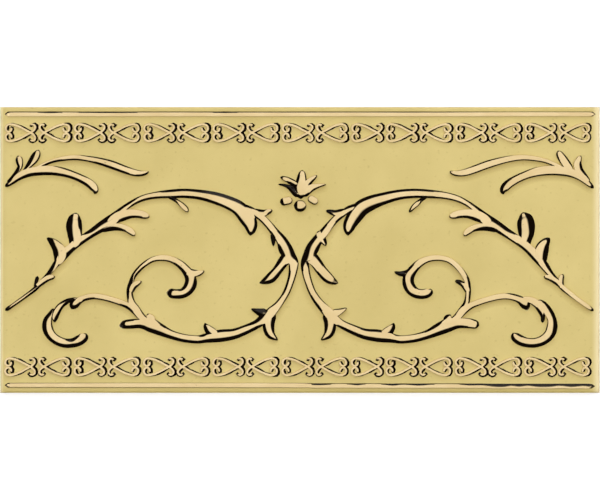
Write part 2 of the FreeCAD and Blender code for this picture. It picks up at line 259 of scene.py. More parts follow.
def glazedClay():
    material, tree, shader, place = startMaterial("glazedClay")
    spot = addNode(tree, "ShaderNodeSeparateXYZ", {"Vector": place}).outputs
    mottle = spread(tree, noise(tree, place, glazeLook["mottleScale"], 4.0), *grainRange, 0.0, 1.0)
    speck = noise(tree, place, glazeLook["speckScale"], 1.0)
    speck = spread(tree, speck, *glazeLook["speckRange"], 0.0, glazeLook["speckShare"])
    grain = noise(tree, place, glazeLook["grainScale"], 2.0)
    colour = mixColour(tree, mottle, glazeLook["light"], glazeLook["deep"])
    colour = mixColour(tree, speck, colour, glazeLook["speckAndShade"])
    # painted shadow: occlusion leaning up the face darkens the glaze just below each rib
    lean = addNode(tree, "ShaderNodeCombineXYZ", dict(enumerate(glazeLook["shadowLean"])))
    shelter = addNode(tree, "ShaderNodeAmbientOcclusion",
                      {"Distance": glazeLook["shadowReach"], "Normal": lean.outputs[0]}, samples=8)
    upright = uprightness(tree)
    paintedShadow = calc(tree, "MULTIPLY", spread(tree, shelter.outputs["AO"], *glazeLook["shadowOpenness"], 0.0, 1.0),
                    spread(tree, upright, *glazeLook["shadowSlope"], 0.0, 1.0))
    level = calc(tree, "ABSOLUTE", spot["Y"])
    bandShare = spread(tree, level, *glazeLook["chainBand"], 1.0, glazeLook["chainShadow"])
    paintedShadow = calc(tree, "MULTIPLY", paintedShadow, bandShare)
    colour = mixColour(tree, paintedShadow, colour, glazeLook["speckAndShade"])
    # the glaze is thin and painted paler near the left and right ends, partly as a painted highlight, and
    # painted shade darkens it along the lower edge
    # the ends are painted paler: partly thin glaze, partly painted highlight where the rounded ends catch
    # the light
    for way, reach in zip((1.0, -1.0), glazeLook["thinReach"]):
        inward = calc(tree, "MULTIPLY_ADD", spot["X"], way, tile["length"] / 2)
        edge = spread(tree, inward, 0.0, reach, 1.0, 0.0, smooth=True)
        colour = mixColour(tree, edge, colour, glazeLook["thin"])
    # painted shade: the lower edge faces away from the light and is darkened
    inward = calc(tree, "ADD", spot["Y"], tile["width"] / 2)
    edge = spread(tree, inward, 0.0, glazeLook["lowReach"], glazeLook["lowShare"], 0.0, smooth=True)
    colour = mixColour(tree, edge, colour, glazeLook["speckAndShade"])
    # the glaze ends in a wavy line on the sides, and bare clay shows below it
    ends, soft, wander = glazeLook["glazeEnd"], glazeLook["endSoft"], glazeLook["endWave"]
    wave = spread(tree, noise(tree, place, glazeLook["waveScale"], 2.0), *grainRange, -wander, wander)
    height = calc(tree, "ADD", spot["Z"], wave)
    bare = spread(tree, height, ends - soft, ends + soft, 1.0, 0.0)
    clayTone = spread(tree, noise(tree, place, glazeLook["clayScale"], 5.0, 0.65), *grainRange, 0.0, 1.0)
    clay = mixColour(tree, clayTone, glazeLook["bisque"], glazeLook["bisqueDark"])
    colour = mixColour(tree, bare, colour, clay)
    gloss = spread(tree, grain, *grainRange, *glazeLook["gloss"])
    rough = calc(tree, "MAXIMUM", gloss, calc(tree, "MULTIPLY", bare, glazeLook["clayRough"]))
    finishMaterial(tree, shader, glazeLook, colour, rough, grain)
    return material


gilt = giltLustre()
glaze = glazedClay()
print("materials made")

# raised ribs: a drawn line with a half width at each point becomes a flat-topped rib with
# sloping sides

ribSizes = {
    "Step": 0.00055,        # length between cross sections
    "Across": 14,           # facets from foot to foot
    "Rise": 0.00090,        # least height of the flat top
    "Slope": 0.42,          # a wide side still falls this steeply, so its rib stands higher
    "Crown": 0.05,          # how far the top swells, as a share of its half width
    "Shoulder": 0.12,       # share of a side that rounds over into the top
    "Sink": 0.00005,        # the feet start this far under the face
    "Root": 0.0012,
    "Face": tile["front"],
}
ribShape = {
    "thinSide": 1.1,        # pixels, the width of a side that the drawing doesn't give
    "sideGain": 1.05,       # sides are this much wider than drawn, as their edges round over
    "sideEdge": 0.40,       # and this many pixels more from a drawn width of one pixel
    "plainEnd": 0.6,        # pixels over which a plain end slopes down
    "leastHalf": 0.00012,   # no rib is drawn narrower than twice this
    "leastEnd": 0.03,       # square of the share of its width that a rib keeps at its very end
    "sidesFit": 1.96,       # the two sides take at most this many half widths
    "sideShare": 0.3,       # share of the facets on each side
    "darkGain": 8.0,        # how soon a rib whose sides don't fit gets the painted shade all over
}


def named(tree, label, kind="FLOAT"):
    node = addNode(tree, "GeometryNodeInputNamedAttribute", {"Name": label}, data_type=kind)
    return node.outputs["Attribute"]


def keep(tree, geometry, label, value, kind="FLOAT"):
    node = addNode(tree, "GeometryNodeStoreNamedAttribute",
                   {"Geometry": geometry, "Name": label, "Value": value}, data_type=kind, domain="POINT")
    return node.outputs[0]


def clamped(tree, value):
    return addNode(tree, "ShaderNodeClamp", {"Value": value}).outputs[0]


def smoothLine(tree, sizes, drawing):
    line = addNode(tree, "GeometryNodeMeshToCurve", {"Mesh": drawing})
    line = addNode(tree, "GeometryNodeCurveSplineType",
                   {"Curve": line.outputs[0]}, spline_type="CATMULL_ROM")
    return addNode(tree, "GeometryNodeResampleCurve",
                   {"Curve": line.outputs[0], "Length": sizes["Step"]}, mode="LENGTH").outputs[0]


def leftward(tree):
    course = tree.nodes.new("GeometryNodeInputTangent").outputs[0]
    across = addNode(tree, "ShaderNodeVectorMath",
                     {0: (0.0, 0.0, 1.0), 1: course}, operation="CROSS_PRODUCT")
    return across.outputs[0]


def ribLine(tree, line):
    # what each cross section of the rib needs is kept on its line
    drawn = calc(tree, "MAXIMUM", named(tree, "halfWidth"), ribShape["leastHalf"])
    along = tree.nodes.new("GeometryNodeSplineParameter").outputs["Length"]
    whole = tree.nodes.new("GeometryNodeSplineLength").outputs["Length"]
    left = calc(tree, "SUBTRACT", whole, along)
    share = calc(tree, "MINIMUM", calc(tree, "DIVIDE", calc(tree, "MINIMUM", along, left), drawn), 1.0)
    # a quarter circle at each end of the rib
    short = calc(tree, "POWER", calc(tree, "SUBTRACT", 1.0, share), 2.0)
    ending = calc(tree, "MAXIMUM", calc(tree, "SUBTRACT", 1.0, short), ribShape["leastEnd"])
    half = calc(tree, "MULTIPLY", drawn, calc(tree, "SQRT", ending))
    sides = calc(tree, "ADD", named(tree, "leftSide"), named(tree, "rightSide"))
    room = calc(tree, "MULTIPLY", half, ribShape["sidesFit"])
    fit = calc(tree, "MINIMUM", calc(tree, "DIVIDE", room, sides), 1.0)
    line = keep(tree, line, "fit", fit)
    fromStart = calc(tree, "DIVIDE", along, named(tree, "startSlope"))
    fromEnd = calc(tree, "DIVIDE", left, named(tree, "endSlope"))
    tip = calc(tree, "MINIMUM", calc(tree, "MINIMUM", fromStart, fromEnd), 1.0)
    line = keep(tree, line, "tip", calc(tree, "MULTIPLY", named(tree, "fit"), tip))
    wider = calc(tree, "MAXIMUM", named(tree, "leftSide"), named(tree, "rightSide"))
    line = keep(tree, line, "wideSide", wider)
    for label in ("leftSide", "rightSide"):
        line = keep(tree, line, label, calc(tree, "MULTIPLY", named(tree, label), named(tree, "fit")))
    line = keep(tree, line, "halfWidth", half)
    line = keep(tree, line, "toLeft", leftward(tree), "FLOAT_VECTOR")
    place = tree.nodes.new("GeometryNodeInputPosition").outputs[0]
    return keep(tree, line, "middle", place, "FLOAT_VECTOR")


def rounded(tree, share, shoulder):
    # a straight slope that rounds over into the flat top
    whole = calc(tree, "SUBTRACT", 1.0, calc(tree, "DIVIDE", shoulder, 2.0))
    slope = calc(tree, "DIVIDE", share, whole)
    gap = calc(tree, "POWER", calc(tree, "SUBTRACT", 1.0, share), 2.0)
    bend = calc(tree, "MULTIPLY", calc(tree, "MULTIPLY", shoulder, 2.0), whole)
    over = calc(tree, "SUBTRACT", 1.0, calc(tree, "DIVIDE", gap, bend))
    high = calc(tree, "GREATER_THAN", share, calc(tree, "SUBTRACT", 1.0, shoulder))
    return calc(tree, "ADD", calc(tree, "MULTIPLY", over, high),
                calc(tree, "MULTIPLY", slope, calc(tree, "SUBTRACT", 1.0, high)))


def ribMesh(tree, sizes, smooth):
    line = ribLine(tree, smooth)
    count = calc(tree, "ADD", sizes["Across"], 3.0)
    ring = addNode(tree, "GeometryNodeCurvePrimitiveCircle", {"Resolution": count}, mode="RADIUS")
    ring = keep(tree, ring.outputs[0], "order", tree.nodes.new("GeometryNodeInputIndex").outputs[0])
    swept = addNode(tree, "GeometryNodeCurveToMesh",
                    {"Curve": line, "Profile Curve": ring,
                     "Scale": named(tree, "halfWidth"), "Fill Caps": True})
    # across runs from 0 at the left foot to 1 at the right foot, and the last two points are the roots
    order = named(tree, "order")
    across = calc(tree, "DIVIDE", order, sizes["Across"])
    half, leftSide, rightSide = named(tree, "halfWidth"), named(tree, "leftSide"), named(tree, "rightSide")
    sideShare = ribShape["sideShare"]
    leftUp = clamped(tree, calc(tree, "DIVIDE", across, sideShare))
    rightUp = clamped(tree, calc(tree, "DIVIDE", calc(tree, "SUBTRACT", 1.0, across), sideShare))
    pastSide = calc(tree, "SUBTRACT", across, sideShare)
    overTop = clamped(tree, calc(tree, "DIVIDE", pastSide, 1.0 - 2 * sideShare))
    wide = calc(tree, "MULTIPLY", half, 2.0)
    top = calc(tree, "SUBTRACT", wide, calc(tree, "ADD", leftSide, rightSide))
    reach = calc(tree, "ADD", calc(tree, "MULTIPLY", leftSide, leftUp),
                 calc(tree, "MULTIPLY", top, overTop))
    reach = calc(tree, "ADD", reach,
                 calc(tree, "MULTIPLY", rightSide, calc(tree, "SUBTRACT", 1.0, rightUp)))
    steep = calc(tree, "MULTIPLY", named(tree, "wideSide"), sizes["Slope"])
    rise = calc(tree, "MULTIPLY", calc(tree, "MAXIMUM", sizes["Rise"], steep), named(tree, "tip"))
    rise = calc(tree, "ADD", rise, sizes["Sink"])
    slope = calc(tree, "MULTIPLY", rounded(tree, leftUp, sizes["Shoulder"]),
                 rounded(tree, rightUp, sizes["Shoulder"]))
    swell = calc(tree, "MULTIPLY", overTop, calc(tree, "SUBTRACT", 1.0, overTop))
    swell = calc(tree, "MULTIPLY", calc(tree, "MULTIPLY", swell, 2.0),
                 calc(tree, "MULTIPLY", top, sizes["Crown"]))
    height = calc(tree, "ADD", calc(tree, "MULTIPLY", rise, slope), swell)
    height = calc(tree, "SUBTRACT", height, sizes["Sink"])
    rightRoot = calc(tree, "GREATER_THAN", order, calc(tree, "ADD", sizes["Across"], 0.5))
    leftRoot = calc(tree, "GREATER_THAN", order, calc(tree, "ADD", sizes["Across"], 1.5))
    reach = calc(tree, "SUBTRACT", reach, calc(tree, "MULTIPLY", leftRoot, wide))
    height = calc(tree, "SUBTRACT", height,
                  calc(tree, "MULTIPLY", rightRoot, calc(tree, "ADD", height, sizes["Root"])))
    toLeft = named(tree, "toLeft", "FLOAT_VECTOR")
    sideways = addNode(tree, "ShaderNodeVectorMath",
                       {0: toLeft, "Scale": calc(tree, "SUBTRACT", half, reach)}, operation="SCALE")
    lift = addNode(tree, "ShaderNodeCombineXYZ", {"Z": calc(tree, "ADD", sizes["Face"], height)})
    spot = addNode(tree, "ShaderNodeVectorMath",
                   {0: named(tree, "middle", "FLOAT_VECTOR"), 1: sideways.outputs[0]}, operation="ADD")
    spot = addNode(tree, "ShaderNodeVectorMath", {0: spot.outputs[0], 1: lift.outputs[0]}, operation="ADD")
    raised = addNode(tree, "GeometryNodeSetPosition",
                     {"Geometry": swept.outputs["Mesh"], "Position": spot.outputs[0]})
    # share of painted shade laid over a rib whose sides leave no flat top
    shadeAllShare = calc(tree, "MULTIPLY", calc(tree, "SUBTRACT", 1.0, named(tree, "fit")), ribShape["darkGain"])
    return keep(tree, raised.outputs[0], "paintedShadeAll", clamped(tree, shadeAllShare))


def onePiece(tree, mesh):
    # every rib is united with the ribs that it crosses
    island = tree.nodes.new("GeometryNodeInputMeshIsland").outputs["Island Index"]
    parts = addNode(tree, "GeometryNodeSplitToInstances",
                    {"Geometry": mesh, "Group ID": island}, domain="FACE")
    union = addNode(tree, "GeometryNodeMeshBoolean", operation="UNION", solver="MANIFOLD")
    tree.links.new(parts.outputs[0], union.inputs["Mesh 2"])
    return union.outputs["Mesh"]


def drawnLines(name, strokes):
    # a stroke is its points (x, y, half width, left side, right side) in metres, then its end slopes
    points, edges = [], []
    values = {key: [] for key in ("halfWidth", "leftSide", "rightSide", "startSlope", "endSlope")}
    for stroke, startSlope, endSlope in strokes:
        for order, (x, y, half, leftSide, rightSide) in enumerate(stroke):
            if order:
                edges.append((len(points) - 1, len(points)))
            points.append((x, y, 0.0))
            for key, value in zip(values, (half, leftSide, rightSide, startSlope, endSlope)):
                values[key].append(value)
    mesh = bpy.data.meshes.new(name)
    mesh.from_pydata(points, edges, [])
    for key, numbers in values.items():
        mesh.attributes.new(key, "FLOAT", "POINT").data.foreach_set("value", numbers)
    return newObject(name, mesh)


def strokeOnTile(points, side=1):
    # side -1 mirrors the stroke to the other half of the tile, so its left and right sides change over
    gain, edge, thin = ribShape["sideGain"], ribShape["sideEdge"], ribShape["thinSide"]
    placed = []
    for x, y, half, *slopes in points:
        leftSide, rightSide = (width * gain + min(width, 1.0) * edge for width in slopes or (thin, thin))
        if side < 0:
            leftSide, rightSide = rightSide, leftSide
            x = 2 * photo["mirrorX"] - x
        placed.append((*onTile(x, y), half * pixel, leftSide * pixel, rightSide * pixel))
    return placed


ribTree, ribInputs = startTree("raisedRib", ribSizes)
ribCourse = smoothLine(ribTree, ribInputs, ribInputs["Geometry"])
endTree(ribTree, onePiece(ribTree, ribMesh(ribTree, ribInputs, ribCourse)), gilt)

# left half of the scroll in the photograph's pixels: x, y, half width, then the widths of its
# sloping left and right sides as one walks along the stroke
scroll = {
    "archStem": [
        (5.0, 310.6, 1.8, 2.5, 2.5), (8.6, 308.2, 2.2, 2.2, 2.2), (12, 305.9, 2.0, 0.8, 1.5),
        (24, 297.3, 2.1, 0.9, 1.4), (35.3, 288.7, 2.5, 1.8, 2.0),
        (42, 281, 2.2, 3.4, 0.6), (48.5, 273.7, 2.3, 4.2, 0.6), (55, 265.3, 3.2, 3.0, 0.5),
        (62, 257.2, 4.6, 0.2, 4.4), (72, 247.2, 4.4, 0.2, 3.2), (82, 239.7, 4.3, 0.2, 2.5),
        (92.4, 232.6, 4.6, 4.0, 2.8), (102, 226.3, 5.6, 4.7, 3.2), (112, 219.5, 5.7, 5.2, 0.2),
        (121, 210.7, 3.4, 2.4, 0.2), (131, 203.8, 3.1, 2.2, 1.5), (142, 198.5, 3.2, 0.9, 1.9),
        (155, 195.4, 3.6, 0.9, 1.8), (170, 193.9, 4.5, 2.3, 1.8), (185, 193.4, 4.9, 2.2, 2.2),
        (200, 194.8, 5.3, 2.7, 2.7), (215, 198, 6.3, 3.2, 2.6), (229, 202.8, 6.9, 3.4, 2.0),
        (239, 208.4, 7.6, 2.6, 2.0), (246.6, 217, 8.4, 0.4, 2.8), (250.4, 224, 7.4, 2.4, 2.8),
        (251, 229.6, 5.6, 3.4, 3.0), (250.5, 233.4, 3.4, 3.0, 3.0), (250, 235.8, 1.4)],
    "ringStem": [
        (241, 205.5, 2.4, 2.4, 0.2), (249, 208.8, 3.2, 2.0, 1.0), (256.2, 213.6, 3.6, 0.4, 1.2),
        (263, 219, 3.8, 0.4, 1.5), (269.2, 225.4, 4.0, 0.7, 1.4), (275.4, 233, 4.6, 1.6, 1.8),
        (281.8, 240.8, 5.6, 2.8, 1.0), (285.6, 249.3, 7.3, 3.9, 4.8), (290.8, 257.2, 5.9, 5.2, 0.2),
        (293.4, 262.4, 5.2, 1.0, 0.6), (293.5, 266.5, 4.9, 1.0, 1.2), (292.4, 274.4, 4.2, 1.2, 1.8),
        (290.1, 282.7, 3.8, 1.2, 1.8), (287.1, 290.9, 3.6, 1.2, 1.8), (282.9, 298.4, 3.5, 1.0, 1.4),
        (277.5, 305.5, 3.9, 0.6, 1.4), (270.5, 312.8, 5.3, 0.6, 1.2), (263, 319.3, 5.3, 0.5, 4.2),
        (256.2, 324.5, 4.7, 2.8, 3.2), (246, 329.5, 5.0, 3.1, 1.7), (234, 334, 5.6, 3.8, 2.1),
        (221, 335.8, 6.5, 4.5, 2.4), (209, 337.6, 5.4, 4.0, 1.6), (203.5, 338.6, 4.7, 3.2, 2.4),
        (197, 339.6, 4.2, 2.7, 0.6), (184, 338.2, 4.3, 3.0, 0.7), (171, 334.6, 4.7, 3.6, 1.0),
        (159.8, 329.5, 6.3, 4.8, 1.8), (150.5, 325.3, 7.2, 4.6, 0.2), (141, 323.8, 5.0, 4.0, 0.5),
        (131, 323.9, 5.0, 3.4, 1.8), (125.6, 324.5, 4.6, 3.4, 2.0), (123.8, 324.9, 4.4, 6.0, 6.0),
        (118.8, 326.2, 3.2, 5.0, 5.0)],
    "spiralStem": [
        (148, 324, 4.0, 0.2, 0.2), (141.5, 316.5, 3.8, 0.5, 1.0), (136, 310, 4.5, 1.2, 0.6),
        (131.8, 303, 3.8, 0.6, 0.8), (130, 296, 3.5, 2.2, 1.5), (129.6, 289.5, 3.3, 3.4, 1.0),
        (131, 282.5, 2.6, 4.2, 0.2), (134, 275.5, 2.6, 2.0, 1.6), (139.1, 269.2, 2.8, 1.5, 1.7),
        (145.6, 263.5, 2.8, 1.2, 1.4), (153, 259.5, 2.8, 0.5, 1.4), (162, 258, 3.1, 0.2, 1.2),
        (171, 259.4, 3.3, 0.2, 1.4), (179, 263.5, 4.0, 0.6, 2.0), (185.5, 269.5, 4.8, 1.0, 3.2),
        (189.8, 276.5, 5.6, 0.6, 4.3), (190.8, 283.5, 6.5, 4.2, 3.9), (187.7, 289.5, 6.0, 3.9, 3.4),
        (182.5, 293.4, 5.2, 3.8, 2.0), (176, 294, 5.0, 3.4, 1.4), (171.6, 293.4, 5.0, 3.0, 2.0),
        (170, 293.1, 4.9, 6.0, 6.0), (166.2, 292.8, 4.0, 6.0, 6.0)],
    "outerScroll": [
        (142, 318.5, 3.2, 0.2, 0.2), (135, 310.4, 4.0, 1.4, 0.2), (127.5, 305.6, 3.3, 2.4, 0.2),
        (119, 302.1, 3.1, 1.3, 0.2), (110, 299.3, 3.0, 1.3, 0.2), (101, 297.1, 3.1, 1.3, 0.2),
        (92.5, 296.5, 3.1, 1.7, 0.2), (85, 298, 3.1, 1.9, 0.2), (80, 300.2, 3.5, 1.4, 0.2),
        (74.5, 304.2, 5.0, 3.4, 2.6), (71.4, 309.4, 3.4, 3.0, 3.0)],
    "curlLeaf": [
        (77, 298.6, 1.4, 0.2, 0.2), (72.5, 299.4, 2.0, 2.4, 1.6), (67, 301.4, 2.8, 3.2, 2.4),
        (60.5, 306.2, 3.4, 2.0, 1.2), (56.4, 312.8, 3.9, 2.5, 1.0), (54.9, 318.6, 3.2, 3.4, 0.8),
        (55, 322.6, 1.0)],
    "outerCurl": [
        (53.8, 308.4, 1.4), (50.3, 314, 2.6, 0.5, 3.4), (47.5, 320.5, 4.6, 0.8, 4.2),
        (47.5, 328, 5.6, 1.2, 4.8), (50.6, 334.8, 5.2, 0.8, 3.6), (56.5, 340, 5.0, 0.8, 3.3),
        (64, 343, 4.9, 1.0, 3.7), (72, 343, 5.0, 3.6, 4.2), (79, 340.6, 5.5, 2.2, 3.8),
        (84.4, 336.8, 4.8, 0.2, 3.2), (86.4, 333.4, 2.6, 0.2, 1.6)],
    "spike": [
        (34.6, 287.5, 1.2, 2.0, 2.0), (35.8, 283, 1.8, 2.5, 2.5), (37, 279, 2.1, 2.5, 2.5),
        (37.6, 276, 1.8, 2.0, 2.0)],
    "budLeaf": [
        (36.5, 287, 2.4, 0.2, 1.6), (43, 281.6, 3.0, 0.2, 1.8), (48.6, 278.1, 3.0, 0.2, 1.6),
        (53, 277.1, 2.4, 0.2, 1.6), (55.3, 276.8, 0.9, 0.2, 0.8)],
    "forkLeaf": [
        (56.2, 264.6, 2.8, 3.6, 0.2), (59.2, 258, 5.9, 5.0, 0.2), (59.4, 251.5, 6.9, 6.0, 0.2),
        (56, 245.8, 5.5, 5.4, 0.6), (51.4, 241.2, 3.6, 6.0, 0.6), (46.6, 237.8, 1.2)],
    "tallLeaf": [
        (72, 247.5, 3.6, 3.6, 0.2), (74.6, 240, 6.5, 5.6, 0.2), (74.6, 233, 7.7, 6.0, 1.4),
        (74, 226, 8.3, 7.0, 3.2), (74.7, 219, 7.0, 5.2, 3.0), (75.6, 214.8, 4.6, 1.6, 1.2),
        (75.8, 212.6, 2.4, 0.2, 0.2)],
    "broadLeaf": [
        (108, 224, 3.2, 0.2, 1.2), (115, 219, 5.0, 0.2, 1.8), (122.5, 215.8, 5.6, 0.2, 3.2),
        (131, 213.8, 4.7, 0.2, 2.2), (139, 214.2, 4.1, 0.2, 1.8), (145, 215.6, 3.6, 0.2, 1.5),
        (149.6, 217.2, 1.8, 0.2, 1.6)],
    "lowLeaf": [
        (101, 230.2, 3.0, 0.2, 3.4), (111, 227.5, 3.9, 0.2, 4.9), (119, 227.2, 3.8, 0.2, 3.2),
        (126, 228.8, 3.4, 0.2, 1.4), (131.5, 232.2, 3.2, 0.2, 1.2), (134.8, 236.2, 1.6, 0.2, 1.4)],
    "archThorn": [
        (168, 196.6, 1.8, 0.2, 2.4), (174, 199.2, 2.2, 1.6, 2.6), (178, 201.8, 2.2, 0.9, 1.2),
        (182, 205, 2.7, 0.9, 0.5), (186, 209, 2.7, 0.9, 0.6), (188.2, 212.2, 1.3)],
    "collarThorn": [
        (252, 210.4, 2.4, 2.0, 0.2), (257, 211.8, 3.2, 2.4, 0.2), (263.5, 213, 3.4, 1.8, 0.2),
        (268.4, 211.8, 2.9, 0.2, 1.8), (272.6, 210, 1.4, 0.2, 1.2)],
    "ringThorn": [
        (271.5, 233.5, 1.6, 3.0, 3.0), (272.8, 238, 2.4, 3.0, 3.0), (273.4, 242.4, 2.1, 3.0, 3.0),
        (273.2, 246.4, 0.9)],
    "heartLeaf": [
        (289, 253.5, 5.4, 0.2, 3.4), (286, 258.4, 6.2, 0.2, 3.6), (282.4, 262.8, 5.6, 2.0, 4.0),
        (277, 271, 5.1, 3.0, 1.9), (270.8, 277.8, 5.5, 3.9, 2.6), (264.6, 281.2, 3.6, 3.4, 3.4),
        (259, 283.2, 0.9)],
    "innerThorn": [
        (268, 313.6, 4.8, 3.0, 3.0), (262.5, 313, 5.0, 5.0, 5.0), (257, 311.2, 3.2, 3.4, 3.4),
        (251, 308.8, 0.9)],
    "downThorn": [
        (273, 312, 5.6, 3.8, 0.2), (269.6, 320, 6.0, 4.4, 0.8), (268.6, 328, 6.0, 3.2, 3.2),
        (271, 334.8, 4.7, 1.8, 3.0), (278, 340.2, 0.9)],
    "lowThorn": [
        (217, 336, 4.4, 3.0, 0.2), (210.4, 331.4, 5.0, 4.2, 0.6), (206.4, 327, 3.4, 3.6, 0.5),
        (204.8, 322.8, 1.0)],
    "nub": [(154, 322, 4.0, 0.2, 0.2), (150, 317.5, 3.8, 0.2, 0.2), (147.5, 313.6, 1.4, 0.2, 0.2)],
    "spiralLeaf": [
        (130.8, 293, 2.4, 0.2, 1.5), (133.8, 286.4, 3.2, 0.2, 1.8), (137.8, 283.2, 2.8, 0.2, 1.5),
        (142, 281.4, 0.9, 0.2, 0.9)],
    "spiralThorn": [
        (186, 271, 3.8, 0.8, 0.2), (193, 273, 3.8, 1.2, 0.2), (199.2, 273.2, 3.0, 0.2, 1.3),
        (204.6, 270.8, 0.9, 0.2, 0.9)],
    "sprigStem": [
        (5.0, 186.8, 1.7), (11, 182.4, 3.0, 1.8, 1.8), (19, 176.8, 3.8, 0.2, 2.2),
        (29, 172.6, 4.5, 0.2, 3.2),
        (40, 170.9, 4.8, 0.2, 3.0), (51, 170.6, 4.9, 0.2, 2.8), (62, 171.9, 4.7, 1.2, 2.5),
        (72, 174.8, 4.2, 1.2, 2.3), (81, 178.6, 4.2, 1.1, 2.5), (88.6, 182.9, 4.4, 0.5, 2.5),
        (93.6, 187.4, 4.3, 0.5, 2.0), (95.3, 191.2, 3.2, 0.8, 2.6), (94.4, 194.2, 1.4)],
    "sprigLongLeaf": [
        (34, 169.6, 1.6, 0.2, 0.2), (44, 164.6, 2.0, 0.2, 1.7), (54, 160.8, 2.0, 0.2, 1.8),
        (65, 158.5, 2.5, 0.2, 1.5), (76, 157.7, 2.7, 0.2, 1.5), (88, 158.8, 3.1, 0.9, 1.3),
        (100, 161.3, 3.8, 1.2, 1.9), (112, 164.8, 4.4, 1.5, 2.2), (124, 169.3, 4.1, 1.2, 1.9),
        (133, 172.4, 3.7, 0.6, 1.5), (140.5, 173.6, 3.0, 0.5, 1.7), (146, 173, 2.0, 0.2, 1.7),
        (149, 171.4, 0.8, 0.2, 0.8)],
    "sprigLeafA": [
        (7.5, 183.2, 2.2, 4.0, 0.2), (12.5, 177.6, 2.3, 4.0, 0.2), (16.5, 172, 2.2, 4.0, 0.2),
        (19.8, 167, 2.8, 2.7, 0.9), (19.6, 162.5, 3.7, 2.2, 0.8), (18.7, 158.4, 3.5, 2.0, 0.5),
        (17.6, 155.6, 1.4, 0.9, 0.2)],
    "sprigLeafB": [
        (23.5, 171.5, 1.4, 0.9, 0.2), (29, 165.2, 3.2, 3.6, 1.0), (33.8, 159.2, 4.6, 4.0, 1.4),
        (37, 154, 4.0, 2.0, 1.2), (38.9, 149.8, 1.6, 0.2, 0.6)],
}

